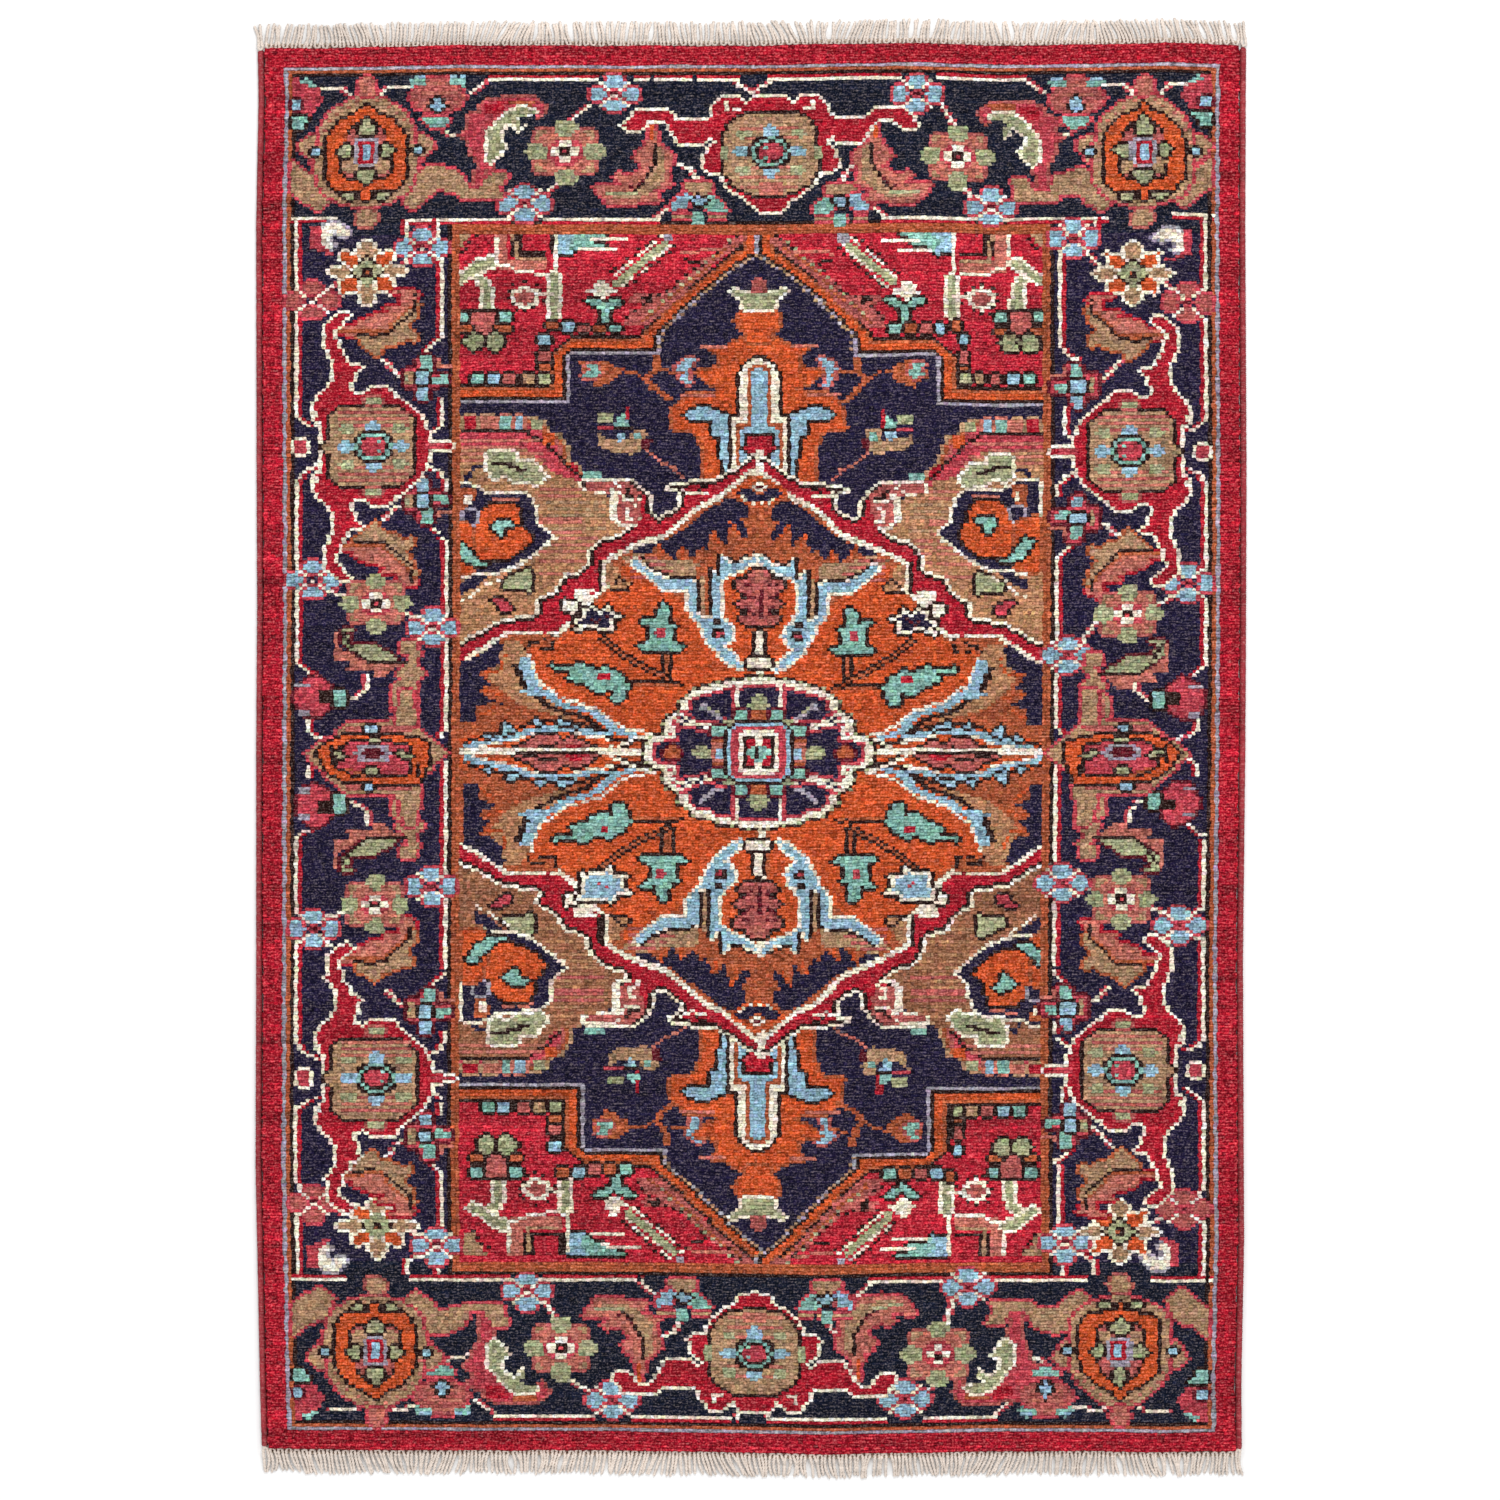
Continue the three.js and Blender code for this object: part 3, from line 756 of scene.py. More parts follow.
# slanted edge, corner and step of the red corners, at the top and at the bottom of the field
spandrelEdge = {
    1: [(-3, 152), (5, 146.5), (12, 139.5), (18, 133), (22.8, 127), (23.4, 120.6),
        (45.6, 120.6), (45.6, 105.6)],
    -1: [(-3, 158), (2.6, 154), (6, 150), (12, 143), (18, 136.5), (23.4, 131.4),
         (24.4, 126.2), (44.6, 126.2), (44.6, 106.2)],
}


def spandrel(at):
    # red corner with its stepped orange edge
    edge = spandrelEdge[at[3]]
    insets(edge + [(90, edge[-1][1]), (90, 175), (-3, 175)],
           ("blueGrey", "brown", "orange", "orange", "rust", "brown", "madder"), at)
    dotted([(u, v + 0.5) for u, v in edge[:-2]], "tan", 2, at)
    # at the bottom the shading and the flower stand farther out
    corner = at
    at = (at[0], at[1] - (4.5 if at[3] < 0 else 0), at[2], at[3])
    weave([(26, 130), (32, 130), (31, 134.5), (27, 136), (31, 137.5), (30, 140), (22, 139.5), (18, 144),
           (14, 147), (12, 150.5), (9, 152), (5, 157), (1, 158), (1, 156), (6, 152), (10, 148), (16, 141),
           (21, 135)], "dullPink", at=at)
    dotted([(4, 157), (10, 150.5), (15, 147), (20, 141), (26, 138.5), (30, 134), (33, 130.5)], "brown",
           2.5, at)
    dotted([(5, 154), (10, 150), (16, 143.5), (21, 138), (26, 133.5), (29, 130)], "rust", 1.6, at)
    dotted([(6, 156), (12, 149), (18, 142.5), (23, 137), (28, 132)], "sage", 3, at)
    strand([(14, 149.5), (17, 150)], "brown", at=at)
    strand([(8, 153.5), (18, 152.5)], "salmon", at=at)
    strand([(26, 139.5), (28, 138), (26, 137.5)], "brown", at=at)
    # a mitred bar that ends in a small ivory flower
    at = (at[0], at[1] + (2 if at[3] < 0 else 0), at[2], at[3])
    weave([(20.6, 155.2), (22.4, 156.4), (35.4, 143.2), (33.8, 141.6)], "sage", at=at)
    dotted([(20.2, 154.6), (33.4, 141)], "ivory", 1.6, at)
    dotted([(23, 157), (36, 144)], "ivory", 1.6, at)
    dotted([(24, 157.4), (37, 144.6)], "brown", 2, at)
    dotted([(19.4, 154), (32.6, 140.6)], "brown", 2, at)
    weave(oblong(19.5, 156, 22, 159), "blueGrey", at=at)
    weave([(35.5, 142), (37, 144), (39, 144), (40, 141), (41.5, 140.5), (39.5, 139.5), (37.5, 138),
           (35.5, 139.5), (33.5, 140.5)], "ivory", at=at)
    weave([(32, 138.5), (35, 138), (37.2, 136.5), (39.5, 138.3), (43, 138.5), (42, 137), (38.3, 135),
           (38.2, 131), (36.3, 131), (36.2, 135), (33, 136.5)], "mint", edge="brown", at=at)
    # blue banner, pole and gate
    at = corner
    weave([(35, 158.5), (50, 158.5), (50, 152.5), (45, 152), (43.5, 154.5), (37, 154.5), (41, 156)],
          "mint", "brown", at)
    weave([(44, 158.5), (50, 158.5), (50, 152.5), (45, 152), (46.5, 156)], "sky", at=at)
    strand([(32, 156.5), (40, 156)], "ivory", width=2, at=at)
    strand([(35, 153), (44, 153)], "ivory", at=at)
    weave(oblong(49, 132.5, 51, 146), "sage", edge="ivory", at=at)
    strand([(50, 158), (50, 146)], "ivory", at=at)
    strand([(51, 139.2), (53.5, 139.2)], "ivory", width=2, at=at)
    weave(oblong(51.5, 151.5, 61, 159), "brown", at=at)
    weave(oblong(52, 152.8, 58, 159), "madder", at=at)
    weave(oblong(51.5, 147, 64, 150.5), "salmon", at=at)
    weave(oblong(61.5, 150, 65, 159), "salmon", at=at)
    strand([(52.5, 150.5), (59.5, 150.5), (60.2, 158)], "tan", at=at)
    strand([(52, 145.8), (60, 146.3), (61.5, 148), (65, 148.6)], "ivory", at=at)
    weave(oval(57.5, 138.6, 4, 3.6, 8), "ivory", at=at)
    weave(oval(57.5, 138.6, 2.6, 2.2, 8), "dullPink", at=at)
    dotted([(52.5, 137.5), (55, 142.5), (57.5, 143.5), (60.5, 142), (62, 138.5), (60, 134.5), (57.5, 134),
            (54, 136)], "brown", 2.4, at)
    # sage arrow and the little flower under it
    strand([(65, 158), (65, 149.5)], "ivory", at=at)
    weave([(65, 151), (69, 150), (75, 144.5), (73.5, 143), (68.5, 147), (65, 148.5)], "sage",
          edge="ivory", at=at)
    weave([(65.8, 135.5), (68, 135.5), (68.2, 142), (70, 144.5), (68, 145.5), (66, 141.5)], "sage",
          edge="ivory", at=at)
    for u in (61, 70.5):
        weave(oblong(u, 131.5, u + 4.2, 134.5), "mint", edge="brown", at=at)
    weave(oblong(65, 127.5, 70.5, 134.5), "dullPink", edge="brown", at=at)
    for u in (61, 71):
        weave(oblong(u, 128, u + 3.5, 130), "rust", edge="brown", at=at)
    for u in (63.5, 68.8):
        weave(oval(u + 1.6, 125, 2.6, 2.8, 8), "sage", edge="brown", at=at)
    # row of little boxes along the step
    boxes = ((32.5, 127.6, "mint"), (36.6, 127.6, "rust"), (40.8, 127.6, "dullPink"), (45, 128, "sky"),
             (49.2, 128.6, "rust"), (51.2, 124.4, "sky"), (51.2, 118.6, "dullPink"), (51.2, 115.8, "rust"),
             (51.4, 112.4, "sage"), (55.4, 112.4, "tan"), (59.6, 112.4, "dullPink"), (64, 112.4, "sky"),
             (68.2, 112.4, "mint"))
    for u, v, wool in boxes:
        if at[3] < 0 and u < 50:
            v += 3.8
        weave(oblong(u, v, u + 3, v + 2.8), wool, edge="brown", at=at)
    weave(oblong(51.2, 118.6, 54.2, 122.4), "dullPink", edge="brown", at=at)
    weave([(70, 158.5), (76, 158.5), (76, 151.5), (74, 152), (73, 155)], "tan", at=at)
    dotted([(70, 157), (74, 152), (76, 151)], "brown", 2, at)


def navyFlowers(at):
    weave([(14, 120.5), (17, 120), (19, 117.5), (18, 115), (17, 112), (15, 111.8), (16, 114.5),
           (15.5, 117)], "sky", edge="dullPink", at=at)
    strand([(23.8, 120.5), (24.5, 116.5), (26.8, 113.5), (24, 110), (21, 107.5)], "rust", width=2, at=at)
    strand([(18, 115.5), (22.5, 116.2)], "rust", at=at)
    strand([(27.5, 113.6), (29.5, 115.5), (34, 116.2)], "rust", at=at)
    weave([(35, 118), (37, 119.5), (41, 119.5), (43.5, 118.5), (42.5, 117), (43.5, 114), (41, 113.5),
           (39.5, 110.8), (37, 111.8), (34, 114), (33, 116)], "rust", at=at)
    weave([(38, 115), (39.5, 118.5), (42, 118.5), (41, 116.5), (42.5, 114.5), (39, 114)], "mint",
          edge="dullPink", at=at)
    weave(oblong(30.5, 98, 32, 105), "crimson", at=at)
    weave([(26, 96), (27, 98.5), (30, 98.5), (31, 95), (37, 95.5), (39.5, 98), (38.5, 93), (36, 91.5),
           (32, 91.2), (30, 90.2), (27.5, 92), (28, 95)], "tan", at=at)
    weave([(31.4, 99), (34.8, 99), (33.8, 101.5), (32.2, 103), (31.4, 101)], "mint", at=at)
    weave(oblong(35, 100, 39, 102.6), "sage", at=at)
    strand([(35, 98.3), (39, 98.3)], "rose", at=at)
    weave([(31.5, 97.5), (34.6, 97.5), (34.3, 95), (33, 94)], "sky", at=at)
    weave(oblong(28, 95, 30, 97.4), "mint", at=at)
    strand([(31, 98.4), (34.5, 98.4)], "brown", at=at)
    weave([(25, 95.5), (28, 95), (28, 92), (26, 91), (25.8, 93.5)], "maroon", at=at)
    strand([(17.8, 83), (20, 86), (24, 88), (27, 91)], "salmon", at=at)


def shoulder(at):
    # striped shoulder between the navy and the camel grounds
    slope = [(38, 83), (42.4, 84.6), (43, 87), (45.6, 88.4), (46, 92.5), (48, 96.5), (51, 97.5), (52, 101),
             (56.5, 102.4), (90, 102.4), (90, 20), (38, 20)]
    insets(slope, ("tan", "rust", "dullPink", "rose"), at)
    for u, wool in ((65, "salmon"), (69.5, "crimson")):
        weave(oblong(u, 98.5, u + 3.6, 101.6), wool, edge="tan", at=at)
    for u, wool in ((57.5, "sky"), (61.2, "mint")):
        weave(oblong(u, 98.4, u + 2.8, 101.6), wool, edge="salmon", at=at)
    weave(oblong(53, 97.6, 56, 101), "sage", at=at)
    weave(oblong(50, 93.5, 52.6, 97), "orange", at=at)
    weave([(43.5, 84), (46, 84.5), (46.5, 88), (44, 87)], "crimson", at=at)
    for v, u in ((94.4, 55), (92.4, 60)):
        strand([(u, v), (75, v)], "salmon", at=at)
    strand([(74, 97.6), (57, 97.6), (54.5, 95), (52, 93.6), (50, 90.5), (48, 88), (46.8, 86), (44, 83)],
           "brown", at=at)


def camelGround(at):
    ground = "camel" if at[3] > 0 else "umber"
    weave([(43, 80), (44.5, 82.5), (50, 84), (53.5, 88.4), (57, 91.6), (90, 92.6), (90, 20), (30, 20),
           (30, 66), (38, 80)], ground, at=at)
    for v, u in ((90.6, 54), (88.6, 53)):
        strand([(u, v), (75, v)], "salmon", at=at)
    for v in (79.5, 77, 70.5, 69, 66.5, 64.5, 62.5, 60.5, 57, 53):
        strand([(44 if v > 66 else 40, v), (54, v)], "salmon" if at[3] > 0 else "camel", at=at)
    for v in (75, 73, 71.6, 67.6):
        strand([(38, v), (52, v)], "tan" if at[3] > 0 else "dullPink", at=at)
    weave([(55.8, 54), (57, 55), (60, 53.5), (63, 51.6), (63.4, 49), (60.6, 49.4), (58, 48.8),
           (55.8, 47.8)], "sage", edge="brown", at=at)
    weave([(61, 42), (61.5, 44.5), (65, 46.4), (67, 46), (64.5, 44), (63.5, 41.8)], "rose", edge="brown",
          at=at)


def sageLeaf(at):
    # sage leaf with an ivory edge
    weave([(52, 83), (54, 86), (55, 87.5), (60, 88), (60, 91.3), (66.8, 91.5), (66.8, 85), (65.5, 83),
           (62, 84), (60, 82), (58.5, 81.5), (57, 82.5), (55, 80.8), (53, 82)], "sage", edge="ivory",
          at=at)
    for line in ([(57.5, 85.3), (59.5, 85.3)], [(59.2, 86.2), (62, 86.2)], [(62, 87.2), (66, 87.2)]):
        strand(line, "brown", at=at)
    weave([(67.8, 87), (70, 87.6), (72, 84), (74, 83), (72, 82), (70, 85.5), (67.8, 85.6)], "navy", at=at)


def halfPalmette(at):
    # half palmette against the guard
    weave([(50.8, 65), (54.6, 69), (54.8, 74.6), (57.4, 77.6), (68, 78.4), (71.5, 81), (77, 81), (77, 53),
           (70, 53.6), (64, 54.4), (60, 56), (55, 60.5)], "navy", edge="ivory", at=at)
    insets([(54.5, 65), (57.6, 68.4), (58, 73), (60, 76), (66.5, 76), (70.4, 72), (71, 68.4), (74, 66.4),
            (74, 63.6), (71, 62), (70.4, 58), (66, 56.4), (61, 57.4), (57.4, 60.6)], ("brown", "orange"),
           at)
    strand([(59.6, 76.4), (66, 76.8)], "salmon", at=at)
    weave([(60, 68.6), (61.5, 70.4), (65, 70), (66.6, 68), (64.6, 66), (64, 64.8), (62.8, 65),
           (62.8, 67.5)], "mint", edge="brown", at=at)
    weave([(70.5, 80), (74, 80), (74, 72), (71, 75), (70, 77.5)], "rust", at=at)
    weave(oblong(71, 75.5, 72.6, 78), "ivory", at=at)
    weave(oblong(70.4, 69, 73.4, 73), "navy", edge="blueGrey", at=at)
    weave([(71.4, 68.4), (77, 70), (77, 53), (71, 54)], "orange", edge="rust", at=at)
    weave([(66, 55.8), (69.6, 58.2), (71.6, 61), (74, 64), (76, 62.5), (74, 58.4), (70.4, 55.8)], "mint",
          edge="brown", at=at)
    weave([(66.4, 53), (70, 53.4), (74, 50.5), (73.6, 47.4), (70, 49.5)], "navy", at=at)
    dotted([(50, 64.6), (55, 59.8), (60, 56), (63, 54)], "ivory", 2, at)
    dotted([(65, 51.8), (68, 50), (72, 46.8), (75, 45)], "ivory", 1.6, at)
    strand([(65, 53.6), (69.5, 53.6)], "ivory", at=at)


def redRibbon(at):
    # ribbon that runs round the medallion, with its cloud-like curls
    outline = [(-3, 92.5), (0, 90.5), (5, 86), (9, 83.5), (12, 82.6), (19, 82.4), (22, 80.6), (21.6, 79),
               (19, 78.4), (18.6, 76), (20, 73.6), (23.4, 71.4), (24.6, 72), (24.6, 76.6), (26, 78.6),
               (28.4, 81), (30.4, 83.2), (41.6, 83.4), (44, 81), (43, 79), (37, 78), (35.6, 77.4),
               (35.6, 70), (33.4, 67.8), (31, 67.2), (34, 66), (38, 64.4), (42, 60), (42.6, 54.8),
               (47.4, 54), (49, 51), (50.6, 48), (54, 46.4), (55.4, 44), (54.6, 41), (63, 40.2),
               (67, 37.5), (71, 34.8), (78, 31), (78, 20), (-3, 20)]
    weave(outline, "brown", at=at)
    insets(outline, ("ivory", "brown", "crimson"), at)
    weave([(29, 69.5), (34.4, 69.5), (34.6, 78), (42.4, 79.6), (42, 82), (31, 82), (28, 79), (28, 73)],
          "dullPink", at=at)
    strand([(34.5, 77.4), (34.5, 70.4), (33, 68.8), (29.6, 68.6), (29, 70), (31.4, 70.8), (31.4, 73.4),
            (30, 74)], "ivory", at=at)
    strand([(29, 76.2), (32.4, 76.4), (33.4, 78.6), (36, 79)], "ivory", at=at)
    strand([(29, 77.4), (31.4, 77.4), (31.8, 79.4)], "brown", at=at)
    strand([(42, 82), (36, 82), (34, 80.6)], "ivory", at=at)
    weave(oblong(37.5, 83, 42.5, 85.4), "mint", at=at)
    strand([(12, 78.4), (15, 78), (18, 79.4)], "ivory", at=at)
    strand([(11, 81.2), (14, 79.8)], "brown", at=at)


medallionEdge = [(-3, 88.6), (0, 86), (3, 83), (7, 79), (12, 76), (18, 70), (21, 67), (24, 65.4),
                 (28, 64), (33, 61), (37, 58.6), (38.4, 56.4), (38.4, 48.6), (41, 46.6), (44.5, 44),
                 (44, 42), (46, 39.4), (49, 36.4), (52, 35.4), (62, 36.4), (65, 34), (71, 29.4), (78, 24),
                 (78, -3), (-3, -3)]


def medallionGround(at):
    insets(medallionEdge, ("ivory", "ivory", "rust", "orange"), at)
    weave([(40, 48.6), (45.4, 49), (45.4, 45), (42, 45)], "ivory", at=at)
    weave([(44, 45.2), (48, 45.6), (48, 42.2), (44.6, 41)], "ivory", edge="brown", at=at)
    weave([(38, 58), (39.4, 57), (39.4, 49), (38, 48)], "brown", at=at)
    # rust and navy shadows behind the scrolls
    weave([(-3, 84), (0, 82.4), (4, 79), (10, 75), (17, 68.6), (22, 64), (28, 62), (33, 59.4), (36.4, 57),
           (36.4, 49), (33, 48), (30.6, 50.4), (33, 54), (33, 56.5), (29, 55), (24, 51), (13, 41),
           (11, 41), (8, 56), (-3, 61)], "rust", at=at)
    weave([(1.5, 75), (5, 77.4), (9, 75), (16, 68.6), (21, 64.4), (27, 62.4), (31, 60.6), (25.5, 60),
           (24, 62.5), (21.6, 60), (19.6, 57.6), (18.6, 61.4), (16.8, 61), (15, 58.5), (13.2, 62),
           (11.4, 61), (10.8, 65.8), (8.6, 65.6), (6.4, 62.5), (6, 68.6), (4.4, 68), (2.6, 65.4),
           (0.6, 65.4), (3, 71), (1.4, 71.5)], "navy", at=at)
    for spike in ([(4, 66), (5.4, 69.4)], [(8.8, 63), (10, 66)],
                  [(17.5, 58), (18, 61.6)], [(22.4, 60), (23.6, 62.6)]):
        strand(spike, "orange", at=at)
    weave([(30.8, 50), (33, 52.4), (34, 55.6), (36.6, 57.4), (36.6, 50), (35.4, 48.2), (33, 48.4)],
          "camel", at=at)
    strand([(36, 48.8), (32, 48.6), (31, 50.6), (33.4, 52), (35, 50)], "brown", at=at)
    weave([(13.4, 56.8), (16, 58.4), (21, 57.6), (28, 60), (33, 58.4), (29.6, 55), (24, 51), (14, 49)],
          "tan", at=at)
    for v in (52.6, 54.6, 56.6, 58.6):
        strand([(17 + (v - 52) * 1.2, v), (31, v)], "dullPink", at=at)
    # big blue scrolls beside the upper palmette
    scroll = [(-2, 60), (0, 58.4), (3, 56.6), (6, 57), (7, 59.6), (7.8, 58), (7.8, 54), (9, 53.4),
              (10.2, 54.6), (10.2, 40), (12.8, 40), (14, 42), (14, 50.6), (16, 52), (21, 51.8),
              (25, 53.6), (28, 57), (29.6, 57.6), (29.8, 56), (26, 52), (23, 49.4), (16.2, 49.2),
              (16.2, 43.6), (14.8, 40.6), (12.8, 38.6), (12.2, 36), (10.6, 32.4), (7.4, 28.2),
              (4.6, 25.6), (2.4, 25.4), (5, 29.4), (7.4, 31.6), (5.2, 33), (4.8, 35), (5, 38),
              (7.2, 39.6), (8.2, 42), (8.2, 51.4), (5.5, 54), (2.5, 55), (0, 57), (-2, 58.4)]
    weave(scroll, "sky", edge="ivory", at=at)
    for line in ([(8.4, 59.6), (8.4, 53.6)], [(11, 55), (11, 41)], [(13.4, 51), (13.4, 42)],
                 [(13.6, 51.4), (16, 52.6), (21, 52.6), (25, 54.6), (28, 58)],
                 [(0, 60), (3.4, 57.4), (5.6, 58)]):
        strand(line, "brown", at=at)
    weave(oblong(11.6, 41, 13, 53), "tan", at=at)
    weave(oval(8.3, 35.6, 1.8, 1.8, 8), "brown", at=at)
    weave(oval(8.3, 35.4, 1, 1, 8), "rose", at=at)
    weave(oblong(7.6, 38, 10, 39.6), "brown", at=at)
    # stems
    weave(oblong(20.8, 21, 22.4, 28.6), "rust", edge="brown", at=at)
    for line in ([(22.6, 22), (28, 25), (33, 28.6), (38, 33.4)], [(19, 19), (31, 19)]):
        strand([(u, v) for u, v in line], "brown", width=3, at=at)
        strand([(u, v + 1) for u, v in line], "brown", at=at)
        strand(line, "rust", at=at)
    # mint lily
    weave([(21.4, 43.4), (22.5, 44.6), (24, 42.4), (24.6, 39), (27.4, 40.6), (28.6, 39), (26, 37.4),
           (26, 33), (27.4, 32), (29, 31.6), (27.4, 29.6), (18.4, 29.6), (16.4, 32), (18.4, 31.6),
           (19.6, 33), (19.8, 36.4), (18, 38.4), (20.6, 38), (21.2, 40)], "mint", edge="brown", at=at)
    weave(oval(23.2, 35.6, 1.4, 1.6, 8), "rose", at=at)
    # mint leaf
    weave([(31, 19.4), (33, 22.6), (36, 24.6), (40, 24.4), (44, 26.6), (45.2, 25), (50, 25.4), (51, 27.2),
           (50.6, 24.6), (45.4, 23.4), (47, 21), (42, 20), (41, 17.6), (38.4, 17.4), (35.4, 17.6),
           (35.6, 14.6), (34, 13.6), (32.4, 15)], "mint", edge="brown", at=at)
    weave(oval(37.4, 22, 1.6, 0.8, 8), "crimson", at=at)
    # shadows and blue blades towards the side
    weave([(50, 34.6), (56, 35), (62, 34.8), (70, 28), (78, 24), (78, 2), (68, 4), (60, 7), (50, 8),
           (40, 5.6), (44, 11), (52, 15), (57, 19), (58, 26), (56, 31), (50, 31)], "rust", at=at)
    weave([(57, 29), (59, 33), (63, 33), (65, 26), (67, 22), (63, 17), (58, 13), (52, 11), (46, 9),
           (50, 14), (57, 18)], "camel", at=at)
    weave([(62.6, 32.4), (65, 32.6), (70, 28), (74, 26.4), (73.6, 8), (70, 8), (69.6, 12.6), (66, 14),
           (63, 13.4), (68, 16), (69.6, 18), (66, 19.4), (68.6, 22), (69.6, 24), (66, 24.6), (64, 27),
           (64, 29)], "navy", at=at)
    for line in ([(64, 16.6), (67.5, 17.6)], [(64.5, 23), (68, 23)],
                 [(63, 28), (63.4, 24.6)], [(66, 12.4), (69, 10)]):
        strand(line, "orange", at=at)
    strand([(50.4, 34), (50.4, 30.6), (54, 30.6)], "brown", at=at)
    strand([(53, 33), (56.4, 32.4), (57.4, 30.6)], "brown", at=at)
    upper = [(27, 3.6), (33, 4.2), (37, 7.4), (40.6, 11), (45, 12.4), (49.4, 14.2), (52.6, 17),
             (55.4, 19.6), (56.8, 23.4), (58, 27)]
    lower = [(36, 4.2), (41, 5), (46, 6.6), (53, 6.6), (57, 5.6), (62, 3.6), (67, 2.6), (73, 0.4)]
    for line, step in ((upper, (-1.4, 1.2)), (lower, (0, -1.4))):
        strand([(u + step[0], v + step[1]) for u, v in line], "ivory", at=at)
    strand([(u + 1.6, v - 1.6) for u, v in upper], "brown", width=2, at=at)
    strand([(u, v + 1.4) for u, v in lower], "brown", at=at)
    strand(upper, "sky", width=3, at=at)
    weave([(52, 16), (54, 19), (57, 18.6), (59.6, 17.6), (57, 16.4)], "sky", at=at)
    strand(lower, "sky", at=at)
    strand([(u, v - 0.8) for u, v in lower[1:]], "sky", at=at)
    for barb in ([(44, 6.4), (49, 9.4), (49.4, 7)], [(52.6, 7), (54.6, 9.6), (55.6, 6.6)],
                 [(59.6, 5), (61, 6.6), (63, 8), (63, 4.4)], [(66, 3), (67, 5), (69, 2.6)]):
        weave(barb, "sky", edge="brown", at=at)
    # almond on the cross axis
    weave([(38, -1.5), (42, 1.6), (45.4, 3.6), (47.4, 1.8), (50, 4.2), (55, 3.6), (56.4, 1.6), (60, 0),
           (62.6, -1.5)], "dullPink", edge="brown", at=at)
    weave([(40.6, -1.5), (43.4, 0.6), (47, 0.6), (49, -1.5)], "crimson", at=at)
    strand([(50, 1), (60, -1.4)], "brown", at=at)
    strand([(25.4, 3.4), (30, 3), (34, 0.8), (37.4, -1.4)], "ivory", at=at)
    strand([(25.4, 2.4), (30, 2), (34, -0.2)], "brown", at=at)


def medallionStar(at):
    # navy star of knots above, jagged blue leaf below
    if at[3] > 0:
        outline = [(34.6, 36.4), (35.6, 39.2), (32.4, 40.4), (35.2, 41.8), (36.6, 43.8), (38.4, 42.2),
                   (40.4, 43.8), (43, 42.6), (43.4, 40.2), (46, 39.2), (44.4, 37.6), (45.4, 35.2),
                   (41, 37.2), (38, 36)]
        wool, heart = "navy", "maroon"
    else:
        outline = [(43.8, 31), (42.6, 33.6), (40.6, 33.2), (38, 32.6), (35.4, 30.6), (35.6, 33.8),
                   (31.4, 34.2), (33.2, 37), (30, 39.6), (34.4, 40.2), (35.6, 42.6), (40.6, 41.6),
                   (44.4, 42.4), (43.6, 37)]
        wool, heart = "sky", "rose"
    weave(outline, "ivory", edge="brown", at=at)
    insets(outline, ("ivory", wool), at)
    dotted([(37, 40.6), (39.6, 38.6), (42, 39.6)] if at[3] > 0 else [(37.4, 37.4), (40.6, 36.6)], heart,
           1.4, at)


